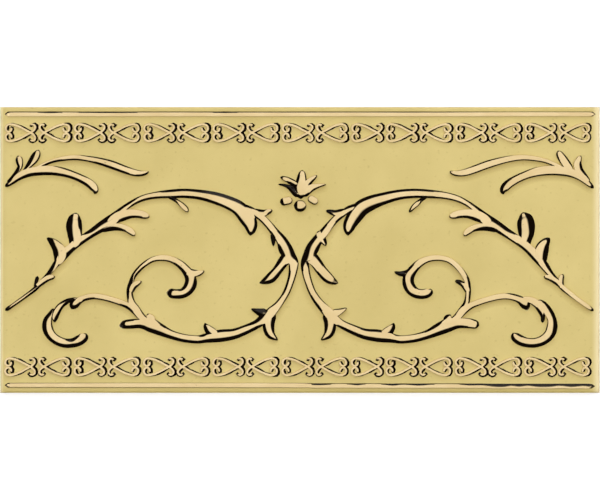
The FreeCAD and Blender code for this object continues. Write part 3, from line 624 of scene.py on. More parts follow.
# strokes that differ on the right half, still drawn as if on the left
rightHalf = {
    "archStem": [
        (5.0, 311, 1.5, 2.0, 2.0), (7.8, 309, 1.9, 0.8, 0.8), (12, 305.9, 2.0, 0.2, 0.3),
        (24, 297.3, 2.2, 0.2, 0.4), (35.3, 288.7, 2.7, 0.2, 1.3), (42, 281, 2.8, 1.2, 1.0),
        (48.5, 273.7, 3.4, 2.2, 1.0), (54.6, 265.3, 4.6, 3.2, 1.0), (62, 257.2, 4.9, 0.2, 2.0),
        (72, 247.2, 4.6, 0.2, 2.0), (82, 239.7, 4.6, 0.2, 1.6),
        (92.4, 232.6, 5.0, 3.6, 1.8), (102, 226.3, 5.8, 4.2, 2.8), (112, 219.5, 5.7, 4.4, 0.2),
        (121, 210.7, 3.4, 2.2, 0.2), (131, 203.8, 3.1, 1.4, 1.3), (142, 198.5, 3.4, 0.9, 1.4),
        (155, 195.4, 3.8, 0.9, 1.5), (170, 193.9, 4.5, 1.8, 1.8), (185, 193.4, 4.9, 2.0, 2.0),
        (200, 194.8, 5.3, 2.2, 2.4), (214.8, 198.5, 6.3, 2.5, 3.2), (226.8, 202.6, 7.6, 2.9, 5.2),
        (236.8, 207.9, 8.3, 2.8, 6.0), (243.4, 215.6, 8.0, 2.4, 5.6), (248.6, 223.6, 7.0, 3.0, 4.3),
        (250.2, 229, 5.7, 2.6, 3.5), (250.8, 233, 3.4, 3.0, 3.0), (250.8, 235.8, 1.4)],
    "ringStem": [
        (241, 205.2, 2.6, 2.6, 0.2), (249, 208.6, 3.4, 2.4, 1.0), (256.2, 213.6, 3.6, 0.8, 1.4),
        (263, 219, 3.8, 0.8, 1.8), (269.2, 225.4, 4.0, 1.4, 0.6), (275.4, 233, 4.6, 2.4, 0.4),
        (281.8, 240.8, 5.6, 3.6, 2.0), (286.4, 248.6, 6.8, 5.0, 3.8), (290.8, 256, 5.6, 6.4, 0.2),
        (293.8, 261.6, 4.4, 6.0, 3.0), (293.8, 266.5, 4.4, 2.4, 1.4), (292.4, 274.4, 4.1, 1.0, 1.2),
        (290.1, 282.7, 3.9, 1.2, 1.1), (287.1, 290.9, 3.9, 1.5, 1.0), (282.9, 298.4, 4.2, 1.8, 0.9),
        (277.5, 305.5, 4.6, 2.2, 0.6), (270.5, 312.8, 5.3, 0.6, 0.2), (263.5, 319.8, 4.6, 0.5, 0.4),
        (256.2, 324.7, 4.4, 2.2, 0.9), (246, 329.5, 5.0, 3.1, 1.2), (234, 334, 5.6, 3.8, 1.9),
        (221, 335.8, 6.5, 4.5, 2.2), (209, 337.7, 5.3, 4.0, 0.6), (203.5, 338.8, 4.5, 3.2, 1.2),
        (197, 339.6, 4.2, 2.5, 0.5), (184, 338.2, 4.3, 2.8, 0.7), (171, 334.4, 4.8, 3.4, 1.7),
        (159.8, 329.2, 6.5, 4.6, 3.0), (150.5, 325.3, 7.0, 4.2, 0.2), (141, 323.4, 5.4, 3.0, 0.2),
        (131, 323.2, 5.2, 1.6, 0.6), (125.6, 324, 4.8, 1.3, 1.2), (121.6, 325, 4.3, 1.3, 1.2),
        (119.6, 325.7, 3.2, 1.2, 1.2)],
    "spiralStem": [
        (148, 324, 4.0, 0.2, 0.2), (141.5, 316.5, 3.6, 0.5, 1.2), (136.4, 310, 3.8, 0.6, 1.8),
        (132.9, 304, 3.2, 1.0, 1.8), (131.2, 298, 3.0, 1.6, 1.2), (130.5, 290, 2.9, 1.8, 0.6),
        (131.8, 281, 3.1, 2.0, 0.4), (134.6, 275, 2.9, 0.8, 0.3), (140, 268.2, 2.8, 0.3, 0.5),
        (146.4, 262.4, 2.8, 0.2, 0.8), (153, 259.3, 2.8, 0.2, 1.0), (162, 258, 3.0, 0.2, 1.1),
        (171, 259.4, 3.2, 0.2, 1.2), (179, 263.2, 4.0, 0.4, 1.4), (185.5, 269.5, 4.8, 2.0, 2.2),
        (189.8, 276.5, 5.8, 1.8, 4.0), (190.4, 283.5, 6.2, 3.6, 3.6), (187.4, 289.5, 5.9, 2.8, 2.2),
        (182.5, 293.2, 5.3, 3.4, 0.9), (176.4, 294.2, 5.1, 3.3, 0.7), (171.6, 293.2, 4.8, 3.0, 0.4),
        (168.8, 291.2, 4.0, 2.4, 0.3), (168.2, 288.6, 2.0, 0.8, 0.2)],
    "nub": [(154, 322, 4.0, 0.2, 2.6), (150.6, 317.5, 3.6, 0.2, 2.4), (148.4, 314.4, 1.8, 1.0, 1.4)],
    "outerScroll": [
        (142, 318.5, 3.2, 0.2, 0.2), (135, 310.4, 4.0, 1.2, 0.2), (127.5, 305.6, 3.3, 1.4, 0.2),
        (119, 302.1, 3.1, 1.0, 0.2), (110, 299.3, 3.0, 0.9, 0.2), (101, 297.1, 3.1, 0.9, 0.2),
        (94, 296.4, 3.1, 0.9, 0.2), (87, 296.8, 3.5, 1.0, 1.3), (80, 299.2, 4.0, 1.6, 1.4),
        (75, 303, 5.0, 2.8, 0.4), (72.4, 307, 4.6, 5.0, 4.0), (71.4, 310.6, 3.0, 3.0, 3.0)],
    "curlLeaf": [
        (77, 298.6, 1.8, 0.5, 0.2), (72.5, 299.2, 2.8, 0.4, 0.2), (67, 300.8, 3.6, 0.8, 0.2),
        (61.5, 304.6, 4.0, 1.2, 0.2), (57.8, 310.6, 3.6, 2.4, 0.2), (56, 316.4, 2.6, 3.0, 3.0),
        (56.2, 321, 2.0, 2.5, 2.5), (56.6, 323, 1.0, 1.0, 1.0)],
    "outerCurl": [
        (61.5, 300.8, 2.6, 0.2, 0.6), (55.5, 305, 4.0, 0.2, 2.0), (50.6, 311.4, 4.6, 0.2, 3.4),
        (46.8, 319, 4.6, 0.4, 3.7), (46.6, 327, 5.7, 0.9, 5.0), (49.3, 334.4, 5.6, 0.9, 4.0),
        (55.5, 340, 5.2, 0.8, 3.4), (63.5, 342.8, 5.0, 0.8, 3.6), (72, 342.6, 5.0, 0.8, 3.6),
        (79, 340, 5.4, 1.6, 3.6), (84, 336.4, 4.8, 1.8, 3.4), (86.4, 333, 2.8, 0.8, 2.4)],
    "spike": [
        (36.4, 289, 1.8, 0.2, 0.2), (37.4, 284.5, 2.6, 1.5, 0.2), (37.6, 279.5, 2.8, 1.5, 0.2),
        (36.4, 275.6, 2.2, 1.3, 0.2), (35.6, 274, 1.0, 0.6, 0.2)],
    "forkLeaf": [
        (55.6, 266, 2.4, 3.0, 0.2), (56.4, 259, 5.2, 5.2, 0.2), (57, 252, 7.0, 6.0, 0.4),
        (55.6, 246.4, 6.6, 5.2, 1.4), (52.4, 241.6, 4.4, 3.6, 1.5), (48.6, 238, 2.0, 2.2, 0.9)],
    "tallLeaf": [
        (72, 247.5, 3.6, 3.6, 0.2), (72.6, 241, 5.6, 5.2, 0.2), (72.4, 234, 8.0, 5.6, 2.6),
        (72.6, 226, 9.2, 7.4, 3.8), (73.6, 219, 8.2, 6.6, 3.8), (75.2, 214.6, 5.6, 3.2, 2.6),
        (76, 212.2, 2.6, 0.6, 0.6)],
    "archThorn": [
        (172, 196.6, 1.8, 2.0, 2.0), (177, 199.6, 2.0, 2.2, 2.2), (181, 203, 2.5, 0.9, 0.8),
        (185, 206.6, 2.5, 0.9, 0.9), (188.6, 211, 1.6, 1.4, 1.4), (189.6, 212.6, 0.8)],
    "collarThorn": [
        (252, 210.4, 2.4, 2.0, 0.2), (257, 211.8, 3.2, 2.4, 0.2), (263.5, 213, 3.2, 2.4, 0.6),
        (268.4, 211.8, 2.6, 3.0, 3.0), (273, 210.6, 1.2, 1.5, 1.5)],
    "ringThorn": [
        (281, 231, 3.0, 0.2, 0.2), (277.2, 237.5, 3.7, 0.2, 2.6), (274.4, 242.5, 3.0, 1.2, 2.6),
        (272.8, 246, 1.2, 0.8, 0.8)],
    "heartLeaf": [
        (289, 253.5, 5.4, 0.2, 3.4), (286, 258.4, 6.2, 0.2, 3.0), (282.4, 262.8, 5.8, 0.8, 2.4),
        (277, 271, 5.6, 1.8, 1.2), (270.8, 277.8, 5.4, 2.5, 0.9), (265, 281.6, 3.6, 2.0, 0.9),
        (260.4, 283.4, 1.2, 0.8, 0.6)],
    "innerThorn": [
        (267, 314, 4.4, 0.2, 0.2), (262, 312.6, 3.9, 0.4, 0.8), (257, 310.6, 2.6, 0.6, 1.0),
        (252, 308, 1.0, 0.6, 0.6)],
    "spiralLeaf": [
        (130.8, 293, 2.4, 0.2, 1.5), (133.8, 286.6, 3.2, 0.2, 1.5), (137.4, 283.4, 2.8, 1.6, 2.2),
        (141, 281.6, 2.4, 3.0, 3.0), (144, 281, 1.2, 1.0, 1.0)],
    "spiralThorn": [
        (186, 271, 3.8, 0.8, 0.2), (193, 273.4, 3.5, 4.0, 4.0), (199.2, 273.6, 2.6, 3.0, 3.0),
        (204.6, 271.6, 0.9, 1.0, 1.0)],
    "sprigStem": [
        (5.0, 188.4, 1.5, 2.0, 2.0), (9, 184.6, 2.6, 1.4, 0.8), (19, 176.8, 3.8, 0.2, 0.9),
        (29, 172.6, 4.5, 0.2, 1.4),
        (40, 170.9, 4.8, 0.2, 1.5), (51, 170.6, 4.9, 0.2, 1.4), (62, 171.9, 4.7, 0.4, 1.2),
        (72, 174.8, 4.3, 1.0, 1.2), (81, 178.6, 4.3, 1.3, 1.2), (88.6, 182.9, 4.6, 1.8, 1.2),
        (93.8, 187.4, 4.6, 3.2, 1.4), (95.8, 191.4, 3.4, 3.0, 3.0), (95, 194.4, 1.5)],
    "sprigLongLeaf": [
        (34, 169.6, 1.6, 0.2, 0.2), (44, 164.8, 2.2, 0.2, 0.9), (54, 160.8, 2.3, 0.2, 0.9),
        (65, 158.6, 2.6, 0.2, 0.9), (76, 157.7, 2.8, 0.2, 0.9), (88, 158.8, 3.2, 0.4, 0.9),
        (100, 161.3, 3.8, 0.9, 1.0), (112, 164.8, 4.2, 1.2, 1.1), (124, 169.3, 4.1, 1.0, 1.1),
        (133, 172.4, 3.7, 0.5, 1.0), (140.5, 173.6, 3.0, 0.4, 1.2), (146, 173, 2.2, 0.3, 1.3),
        (149, 171.2, 1.4, 1.0, 1.0)],
    "sprigLeafA": [
        (9.5, 182.4, 2.4, 0.8, 0.2), (14.6, 176.6, 3.6, 1.6, 0.2), (19.4, 170.4, 4.2, 2.5, 0.2),
        (21, 164.4, 4.2, 2.2, 0.2), (19.8, 159.2, 2.9, 0.9, 0.4), (17.8, 155.6, 1.5, 0.9, 0.2)],
    "sprigLeafB": [
        (27, 171, 2.6, 0.2, 0.2), (31, 165.6, 4.2, 1.4, 0.3), (35.4, 159.8, 4.6, 1.4, 0.9),
        (39.2, 154.4, 3.8, 0.9, 1.6), (41, 150.6, 2.0, 0.5, 1.2)],
}

# the bud on the middle line and its pearls, whose two sides differ a little
bud = {
    "centrePetal": [
        (301, 199, 3.4, 2.5, 2.5), (300.6, 194, 6.4, 4.0, 1.2), (300.4, 187.5, 7.6, 3.8, 0.2),
        (301.4, 181, 5.6, 2.6, 1.0), (302, 174.6, 4.2, 1.8, 1.1), (302.4, 170, 1.9, 0.5, 0.5)],
    "leftPetal": [
        (297.5, 186, 3.4, 3.0, 0.5), (291.5, 182, 3.4, 2.8, 1.1), (286, 179, 2.6, 0.6, 0.8),
        (280.2, 177, 1.4)],
    "rightPetal": [
        (304, 187.5, 3.8, 0.2, 1.0), (308.8, 182.2, 3.3, 0.2, 1.8), (313.2, 178.5, 2.4, 0.2, 1.5),
        (317.2, 175.2, 1.0, 0.2, 0.8)],
    "leftSepal": [
        (300, 196, 4.2, 3.6, 3.0), (295, 191.8, 4.2, 5.0, 5.0), (289.5, 187.4, 2.7, 3.0, 3.0),
        (284, 185.2, 1.6, 2.0, 2.0), (278, 184.2, 0.9)],
    "rightSepal": [
        (301.5, 195.5, 4.6, 0.2, 3.4), (307, 190.8, 4.6, 0.2, 1.6), (313, 187.4, 3.5, 0.2, 1.7),
        (319.5, 185.6, 2.1, 0.2, 1.2), (326, 184.4, 0.9, 0.2, 0.9)],
}
pearls = {
    "leftPearl": [(280, 202.6, 4.0, 0.2, 1.3), (292.4, 199.8, 4.0, 0.2, 1.0)],
    "middlePearl": [(293.8, 206, 5.9, 0.6, 2.4), (306.4, 206, 5.9, 0.6, 2.4)],
    "rightPearl": [(308.2, 197.4, 3.8, 0.2, 1.0), (317.6, 203, 3.8, 0.2, 1.2)],
}
pearlSizes = dict(ribSizes)
pearlSizes.update({"Step": 0.00016, "Crown": 0.12})

# strokes whose first or last end slopes down over more than a plain end, in pixels
endSlopes = {
    "archStem": (3.0, 4.0),
    "ringStem": (0.6, 7.0),
    "spiralStem": (0.6, 6.0),
    "outerScroll": (0.6, 6.0),
    "curlLeaf": (0.6, 2.5),
    "forkLeaf": (0.6, 5.0),
    "heartLeaf": (0.6, 7.0),
    "lowThorn": (0.6, 2.5),
    "sprigStem": (4.5, 3.0),
    "centrePetal": (4.0, 0.6),
    "leftPetal": (0.6, 2.5),
    "leftSepal": (0.6, 4.0),
    "leftPearl": (3.6, 0.6),
    "middlePearl": (3.6, 0.6),
}
rightEnds = {"ringStem": (0.6, 2.6), "spiralStem": (0.6, 0.6)}  # where the right half differs


def slopedStrokes(drawn, sides=(1,)):
    strokes = []
    for side in sides:
        for name, points in drawn.items():
            first, last = endSlopes.get(name, (ribShape["plainEnd"],) * 2)
            if side < 0:
                points = rightHalf.get(name, points)
                first, last = rightEnds.get(name, (first, last))
            strokes.append((strokeOnTile(points, side), first * pixel, last * pixel))
    return strokes


def drawnRelief(name, strokes, sizes):
    drawing = drawnLines(name + "Drawing", strokes)
    useTree(drawing, ribTree, sizes)
    return plainMesh(drawing, name)


scrollStrokes = slopedStrokes(scroll, (1, -1)) + slopedStrokes(bud)
scrollPiece = drawnRelief("scrollRelief", scrollStrokes, ribSizes)
pearlPiece = drawnRelief("pearlRelief", slopedStrokes(pearls), pearlSizes)
print("scroll relief:", len(scrollPiece.data.polygons), "faces")

# the chain of hearts: one leg in pixels, x from the wide end and y up from the middle line
heartLeg = [
    (6.0, 6.0), (7.2, 4.2), (6.4, 1.8), (3.8, 0.8), (1.5, 2.4), (1.2, 5.1), (2.5, 7.4), (5.2, 8.4),
    (8.6, 8.1), (13.0, 6.8), (17.6, 4.7), (21.8, 2.4), (25.6, 0.4), (28.4, -1.5), (30.4, -3.8),
    (30.7, -6.2), (29.2, -8.0), (27.0, -7.9), (25.6, -6.6), (26.0, -5.2)]
chainDrawing = {
    "pitch": 34.65,         # pixels from heart to heart
    "pairGap": 3.4,         # between the wide ends of two hearts
    "starts": (4.5, 4.1),   # left end of the upper and of the lower row
    "rows": (132.7, 366.7),
    "halfRib": 1.2,
    "thinSide": 0.2,
    "darkSide": 2.5,        # most that a dark side is wider
    "ends": (0.6, 2.5),     # pixels over which a leg's two ends slope down
    "patchRange": (0.35, 0.65),  # noise values between which the dark sides vary
    "patchGain": (0.55, 1.15),   # and the shares of their width that they then have
}
chainSizes = dict(ribSizes)
chainSizes.update({
    "Step": 0.00064,
    "Across": 10,
    "Rise": 0.00065,
    "Count": 17,
    "Pitch": chainDrawing["pitch"] * pixel,
    "Pair Gap": chainDrawing["pairGap"] * pixel,
    "Upper Start": onTile(chainDrawing["starts"][0], 0)[0],
    "Lower Start": onTile(chainDrawing["starts"][1], 0)[0],
    "Upper Row": onTile(0, chainDrawing["rows"][0])[1],
    "Lower Row": onTile(0, chainDrawing["rows"][1])[1],
    "Last Of Pairs": 10,    # hearts face in pairs, with one odd heart after this index
    "Thin Side": chainDrawing["thinSide"] * pixel,
    "Dark Side": chainDrawing["darkSide"] * pixel,
    "Dark Gain": 1.2,       # how soon a side that turns to the right is fully dark
    "Low Curl": 0.88,       # share of a leg where its last curl starts
    "Low Share": 0.6,       # dark width on the outside of that curl
    "Patch Scale": 320.0,
})


def chainRow(tree, sizes, startX, rowY):
    index = tree.nodes.new("GeometryNodeInputIndex").outputs[0]
    past = calc(tree, "GREATER_THAN", index, sizes["Last Of Pairs"])
    turned = calc(tree, "MODULO", calc(tree, "SUBTRACT", index, past), 2.0)
    step = addNode(tree, "ShaderNodeCombineXYZ", {"X": sizes["Pitch"]}).outputs[0]
    start = addNode(tree, "ShaderNodeCombineXYZ", {"X": startX, "Y": rowY}).outputs[0]
    line = addNode(tree, "GeometryNodeMeshLine",
                   {"Count": sizes["Count"], "Start Location": start, "Offset": step}, mode="OFFSET")
    line = keep(tree, line.outputs[0], "turned", turned)
    line = keep(tree, line, "rowY", rowY)
    # a turned heart has its wide end on the far side of its place
    over = calc(tree, "SUBTRACT", sizes["Pitch"], sizes["Pair Gap"])
    shift = addNode(tree, "ShaderNodeCombineXYZ",
                    {"X": calc(tree, "MULTIPLY", named(tree, "turned"), over)})
    return addNode(tree, "GeometryNodeSetPosition",
                   {"Geometry": line, "Offset": shift.outputs[0]}).outputs[0]


def darkSides(tree, sizes, line):
    # a side that faces right, and the outside of a low curl, is wider and so takes more of the painted shade
    toLeft = leftward(tree)
    facing = addNode(tree, "ShaderNodeSeparateXYZ", {"Vector": toLeft}).outputs["X"]
    place = tree.nodes.new("GeometryNodeInputPosition").outputs[0]
    level = addNode(tree, "ShaderNodeSeparateXYZ", {"Vector": place}).outputs["Y"]
    below = calc(tree, "LESS_THAN", level, named(tree, "rowY"))
    along = tree.nodes.new("GeometryNodeSplineParameter").outputs["Factor"]
    low = calc(tree, "MULTIPLY", below, calc(tree, "GREATER_THAN", along, sizes["Low Curl"]))
    patch = noise(tree, place, sizes["Patch Scale"], 1.0)
    patch = spread(tree, patch, *chainDrawing["patchRange"], *chainDrawing["patchGain"])
    most = calc(tree, "MULTIPLY", sizes["Dark Side"], patch)
    for label, sign in (("leftSide", 1.0), ("rightSide", -1.0)):
        turnedRight = calc(tree, "MULTIPLY", calc(tree, "MULTIPLY", facing, sign), sizes["Dark Gain"])
        right = calc(tree, "MULTIPLY", clamped(tree, turnedRight), calc(tree, "SUBTRACT", 1.0, low))
        outer = clamped(tree, calc(tree, "MULTIPLY", named(tree, "outer"), sign))
        outer = calc(tree, "MULTIPLY", calc(tree, "MULTIPLY", low, sizes["Low Share"]), outer)
        extra = calc(tree, "MULTIPLY", most, calc(tree, "ADD", right, outer))
        line = keep(tree, line, label, calc(tree, "ADD", sizes["Thin Side"], extra))
    leftSide, rightSide = named(tree, "leftSide"), named(tree, "rightSide")
    grown = calc(tree, "SUBTRACT", calc(tree, "DIVIDE", calc(tree, "ADD", leftSide, rightSide), 2.0),
                 sizes["Thin Side"])
    line = keep(tree, line, "halfWidth", calc(tree, "ADD", named(tree, "halfWidth"), grown))
    over = calc(tree, "DIVIDE", calc(tree, "SUBTRACT", leftSide, rightSide), 2.0)
    line = keep(tree, line, "over", over)
    shift = addNode(tree, "ShaderNodeVectorMath",
                    {0: toLeft, "Scale": named(tree, "over")}, operation="SCALE")
    return addNode(tree, "GeometryNodeSetPosition",
                   {"Geometry": line, "Offset": shift.outputs[0]}).outputs[0]


def heartChain():
    tree, sizes = startTree("heartChain", chainSizes)
    other = addNode(tree, "GeometryNodeTransform",
                    {"Geometry": sizes["Geometry"], "Scale": (1.0, -1.0, 1.0)})
    legs = tree.nodes.new("GeometryNodeJoinGeometry")
    tree.links.new(keep(tree, sizes["Geometry"], "outer", 1.0), legs.inputs[0])
    tree.links.new(keep(tree, other.outputs[0], "outer", -1.0), legs.inputs[0])
    points = tree.nodes.new("GeometryNodeJoinGeometry")
    for row in ("Upper", "Lower"):
        places = chainRow(tree, sizes, sizes[row + " Start"], sizes[row + " Row"])
        tree.links.new(places, points.inputs[0])
    turn = addNode(tree, "ShaderNodeCombineXYZ",
                   {"Z": calc(tree, "MULTIPLY", named(tree, "turned"), math.pi)})
    hearts = addNode(tree, "GeometryNodeInstanceOnPoints",
                     {"Points": points.outputs[0], "Instance": legs.outputs[0],
                      "Rotation": turn.outputs[0]})
    drawn = addNode(tree, "GeometryNodeRealizeInstances", {"Geometry": hearts.outputs[0]})
    course = darkSides(tree, sizes, smoothLine(tree, sizes, drawn.outputs[0]))
    endTree(tree, onePiece(tree, ribMesh(tree, sizes, course)), gilt)
    half = chainDrawing["halfRib"] * pixel
    side = chainDrawing["thinSide"] * pixel
    first, last = chainDrawing["ends"]
    stroke = [(x * pixel, y * pixel, half, side, side) for x, y in heartLeg]
    drawing = drawnLines("heartLeg", [(stroke, first * pixel, last * pixel)])
    useTree(drawing, tree, chainSizes)
    return plainMesh(drawing, "heartChain")


chainPiece = heartChain()
print("heart chain:", len(chainPiece.data.polygons), "faces")

# one bar along each long edge, whose upper side is wider in places, so its painted shade makes an uneven
# dark line
bars = {
    "topBar": [
        (4.8, 114, 2.5, 1.0, 0.12), (14, 113.9, 2.5, 0.72, 0.12), (40, 113.9, 2.5, 0.8, 0.12),
        (48, 113.8, 2.6, 1.4, 0.12), (55, 113.8, 2.6, 1.4, 0.12), (64, 113.9, 2.5, 0.72, 0.12),
        (110, 113.9, 2.5, 1.0, 0.12), (150, 113.9, 2.5, 0.72, 0.12), (214, 113.9, 2.5, 0.8, 0.12),
        (225, 113.8, 2.6, 1.4, 0.12), (236, 113.9, 2.5, 0.8, 0.12), (300, 113.9, 2.5, 0.8, 0.12),
        (360, 113.9, 2.5, 0.75, 0.12), (430, 113.9, 2.5, 0.8, 0.12), (500, 113.9, 2.4, 0.5, 0.12),
        (584, 113.9, 2.4, 0.5, 0.12), (595.4, 114, 2.5, 0.7, 0.12)],
    "lowBar": [
        (4.8, 385.2, 2.4, 0.4, 0.45), (60, 385.2, 2.4, 0.32, 0.42), (180, 385.2, 2.4, 0.24, 0.35),
        (300, 385.3, 2.4, 0.32, 0.24), (312, 385.6, 2.5, 1.4, 0.22), (324, 385.6, 2.5, 1.4, 0.22),
        (334, 385.6, 2.4, 0.5, 0.22), (349, 385.6, 2.4, 0.6, 0.22), (357, 385.7, 2.5, 1.7, 0.22),
        (366, 385.6, 2.4, 0.5, 0.22), (382, 385.7, 2.4, 0.65, 0.22), (393, 385.8, 2.5, 2.0, 0.22),
        (403, 385.7, 2.4, 0.7, 0.22), (419, 385.8, 2.5, 2.0, 0.22), (433, 385.7, 2.4, 0.65, 0.22),
        (458, 385.7, 2.4, 0.65, 0.22), (470, 385.8, 2.5, 1.7, 0.22), (482, 385.8, 2.5, 1.5, 0.22),
        (494, 386, 2.6, 3.2, 0.22), (504, 386, 2.6, 3.4, 0.22), (511, 385.9, 2.5, 2.0, 0.22),
        (519, 386, 2.6, 3.2, 0.22), (528, 386, 2.6, 1.9, 0.22), (538, 386, 2.6, 3.4, 0.22),
        (551, 386, 2.6, 3.2, 0.22), (560, 385.9, 2.5, 2.0, 0.22), (571, 386, 2.6, 3.4, 0.22),
        (583, 386, 2.6, 2.3, 0.22), (589, 386, 2.6, 3.2, 0.22), (591, 386.1, 2.4, 4.0, 4.0),
        (595.2, 386.2, 2.1, 4.0, 4.0)],
}
endSlopes.update({"topBar": (4.3, 5.0), "lowBar": (2.6, 4.0)})
barSizes = dict(ribSizes)
barSizes.update({"Step": 0.0013, "Across": 10, "Rise": 0.0005})

barPiece = drawnRelief("edgeBars", slopedStrokes(bars), barSizes)
print("edge bars:", len(barPiece.data.polygons), "faces")

# the pressed tile itself, with shallow key recesses on the back
keySizes = {
    "Columns": 9,
    "Rows": 4,
    "Rim": 0.009,
    "Land": 0.004,
    "Depth": 0.0008,
    "Length": tile["length"],
    "Width": tile["width"],
}


def tileSlab():
    mesh = bpy.data.meshes.new("tileSlab")
    form = bmesh.new()
    bmesh.ops.create_cube(form, size=1.0)
    bmesh.ops.scale(form, vec=(tile["length"], tile["width"], tile["front"]), verts=form.verts)
    bmesh.ops.translate(form, vec=(0, 0, tile["front"] / 2), verts=form.verts)

    def edgesAt(level):
        return [e for e in form.edges if all(abs(v.co.z - level) < 1e-6 for v in e.verts)]

    bmesh.ops.bevel(form, geom=edgesAt(tile["front"]), offset=tile["edgeRadius"],
                    segments=tile["edgeSteps"], profile=0.5, affect="EDGES")
    bmesh.ops.bevel(form, geom=edgesAt(0.0), offset=tile["backEase"],
                    segments=2, profile=0.5, affect="EDGES")
    # the face is cut into small squares, so that no part of the relief stands inside one of them
    for axis, size in ((Vector((1, 0, 0)), tile["length"]), (Vector((0, 1, 0)), tile["width"])):
        cuts = int(size / tile["faceSquare"])
        for order in range(1, cuts):
            cut = axis * (size * (order / cuts - 0.5))
            bmesh.ops.bisect_plane(form, geom=form.verts[:] + form.edges[:] + form.faces[:],
                                   plane_co=cut, plane_no=axis)
    form.to_mesh(mesh)
    form.free()
    mesh.materials.append(glaze)
    return newObject("tileSlab", mesh)


def backKeys():
    tree, sizes = startTree("backKeys", keySizes)

    def pitchOf(whole, count):
        inside = calc(tree, "SUBTRACT", whole, calc(tree, "MULTIPLY", sizes["Rim"], 2.0))
        return calc(tree, "DIVIDE", calc(tree, "ADD", inside, sizes["Land"]), count)

    pitchX = pitchOf(sizes["Length"], sizes["Columns"])
    pitchY = pitchOf(sizes["Width"], sizes["Rows"])
    spanX = calc(tree, "MULTIPLY", pitchX, calc(tree, "SUBTRACT", sizes["Columns"], 1.0))
    spanY = calc(tree, "MULTIPLY", pitchY, calc(tree, "SUBTRACT", sizes["Rows"], 1.0))
    grid = addNode(tree, "GeometryNodeMeshGrid",
                   {"Size X": spanX, "Size Y": spanY,
                    "Vertices X": sizes["Columns"], "Vertices Y": sizes["Rows"]})
    size = addNode(tree, "ShaderNodeCombineXYZ",
                   {"X": calc(tree, "SUBTRACT", pitchX, sizes["Land"]),
                    "Y": calc(tree, "SUBTRACT", pitchY, sizes["Land"]),
                    "Z": calc(tree, "MULTIPLY", sizes["Depth"], 2.0)})
    key = addNode(tree, "GeometryNodeMeshCube", {"Size": size.outputs[0]})
    keys = addNode(tree, "GeometryNodeInstanceOnPoints",
                   {"Points": grid.outputs[0], "Instance": key.outputs[0]})
    endTree(tree, keys.outputs[0], glaze)
    holder = newObject("backKeys", bpy.data.meshes.new("backKeys"))
    useTree(holder, tree, keySizes)
    return plainMesh(holder, "backKeys")


def joinInto(piece, other, operation):
    modifier = piece.modifiers.new(operation.lower(), "BOOLEAN")
    modifier.operation = operation
    modifier.solver = "MANIFOLD"
    modifier.material_mode = "TRANSFER"
    modifier.object = other
    made = plainMesh(piece, piece.name)
    bpy.data.objects.remove(other)
    return made


tilePiece = joinInto(tileSlab(), backKeys(), "DIFFERENCE")
for reliefPiece in (scrollPiece, pearlPiece, chainPiece, barPiece):
    tilePiece = joinInto(tilePiece, reliefPiece, "UNION")
tilePiece.name = "borderTile"
tilePiece.data.name = "borderTile"
print("tile joined:", len(tilePiece.data.polygons), "faces")


def shadeTile(piece):
    mesh = piece.data
    form = bmesh.new()
    form.from_mesh(mesh)
    bmesh.ops.triangulate(form, faces=form.faces[:])
    for face in form.faces:
        face.smooth = True
    for edge in form.edges:
        kinds = {face.material_index for face in edge.link_faces}
        edge.smooth = len(kinds) == 1 and edge.calc_face_angle(0.0) < math.radians(tile["sharpAngle"])
    openEdges = sum(len(edge.link_faces) < 2 for edge in form.edges)
    print("tile shaded:", len(form.faces), "triangles,", openEdges, "open edges")
    form.to_mesh(mesh)
    form.free()


shadeTile(tilePiece)
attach(tilePiece, "root")
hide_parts("border_tile")

# floor, light and camera
studio = {
    "floorSize": 9.0,
    "floorGap": 0.0002,       # the floor lies this far under the back
    "floorColour": (0.86, 0.86, 0.86),
    "floorLift": 0.50,        # share of white that the floor shows by itself
    "boxHeight": 2.2,
    "boxSize": (3.1, 3.1),
    "boxShift": (0.10, 0.15),
    "boxLight": 1.38,         # radiance of the soft box
    "rimWidth": 0.5,          # strip lamps along its four sides
    "rimLight": 1.35,
    "rimDrop": 0.02,          # they hang this far under it
    "keyPlace": (0.5, 2.6, 1.9),  # a lamp beyond the upper edge
    "keySize": 2.0,
    "keyLight": 2.6,
    "roomLight": 0.02,
    "cameraHeight": 2.00,     # above the glazed face
    "sensor": 36.0,
}


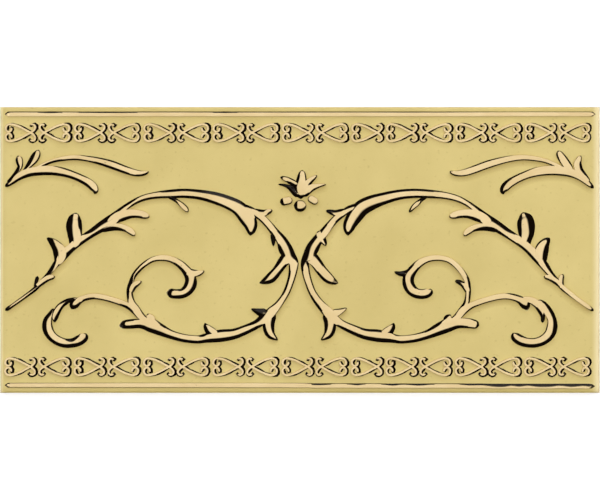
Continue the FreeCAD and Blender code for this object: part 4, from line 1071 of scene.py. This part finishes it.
def paleFloor():
    mesh = bpy.data.meshes.new("floor")
    form = bmesh.new()
    bmesh.ops.create_grid(form, x_segments=1, y_segments=1, size=studio["floorSize"] / 2)
    bmesh.ops.translate(form, vec=(0, 0, -studio["floorGap"]), verts=form.verts)
    form.to_mesh(mesh)
    form.free()
    material = bpy.data.materials.new("paleFloor")
    material.use_nodes = True
    tree = material.node_tree
    tree.nodes.clear()
    path = tree.nodes.new("ShaderNodeLightPath").outputs
    seen = calc(tree, "MAXIMUM", path["Is Camera Ray"],
                calc(tree, "MAXIMUM", path["Is Glossy Ray"], path["Is Transmission Ray"]))
    glow = addNode(tree, "ShaderNodeEmission",
                   {"Strength": calc(tree, "MULTIPLY", seen, studio["floorLift"])})
    matt = addNode(tree, "ShaderNodeBsdfDiffuse", {"Color": (*studio["floorColour"], 1.0)})
    both = addNode(tree, "ShaderNodeAddShader", {0: matt.outputs[0], 1: glow.outputs[0]})
    addNode(tree, "ShaderNodeOutputMaterial", {"Surface": both.outputs[0]})
    mesh.materials.append(material)
    floor = newObject("floor", mesh)


def areaLamp(name, size, radiance, place):
    lamp = bpy.data.lights.new(name, "AREA")
    lamp.shape = "RECTANGLE"
    lamp.size, lamp.size_y = size
    lamp.energy = radiance * math.pi * lamp.size * lamp.size_y
    made = newObject(name, lamp)
    made.location = place
    return made


def keyLamp():
    size, place = studio["keySize"], Vector(studio["keyPlace"])
    lamp = areaLamp("keyLamp", (size, size), studio["keyLight"], place)
    lamp.rotation_euler = place.to_track_quat("Z", "Y").to_euler()


def softBox():
    wide, deep = studio["boxSize"]
    midX, midY = studio["boxShift"]
    high, rim = studio["boxHeight"], studio["rimWidth"]
    under = high - studio["rimDrop"]
    areaLamp("softBox", (wide, deep), studio["boxLight"], (midX, midY, high))
    for side in (-1, 1):
        outX = midX + side * (wide - rim) / 2
        outY = midY + side * (deep - rim) / 2
        areaLamp("rimStrip", (rim, deep), studio["rimLight"], (outX, midY, under))
        areaLamp("rimStrip", (wide, rim), studio["rimLight"], (midX, outY, under))


def room():
    world = bpy.data.worlds.new("room")
    world.use_nodes = True
    back = world.node_tree.nodes["Background"]
    back.inputs["Color"].default_value = (1.0, 1.0, 1.0, 1.0)
    back.inputs["Strength"].default_value = studio["roomLight"]
    bpy.context.scene.world = world


def topCamera():
    lens = bpy.data.cameras.new("topCamera")
    lens.sensor_fit = "HORIZONTAL"
    lens.sensor_width = studio["sensor"]
    lens.lens = studio["sensor"] * studio["cameraHeight"] / tile["length"]
    camera = newObject("topCamera", lens)
    camera.location = (0.0, 0.0, tile["front"] + studio["cameraHeight"])
    bpy.context.scene.camera = camera


paleFloor()
softBox()
keyLamp()
room()
topCamera()
bpy.context.scene.view_settings.view_transform = "Standard"
print("floor, light and camera set")
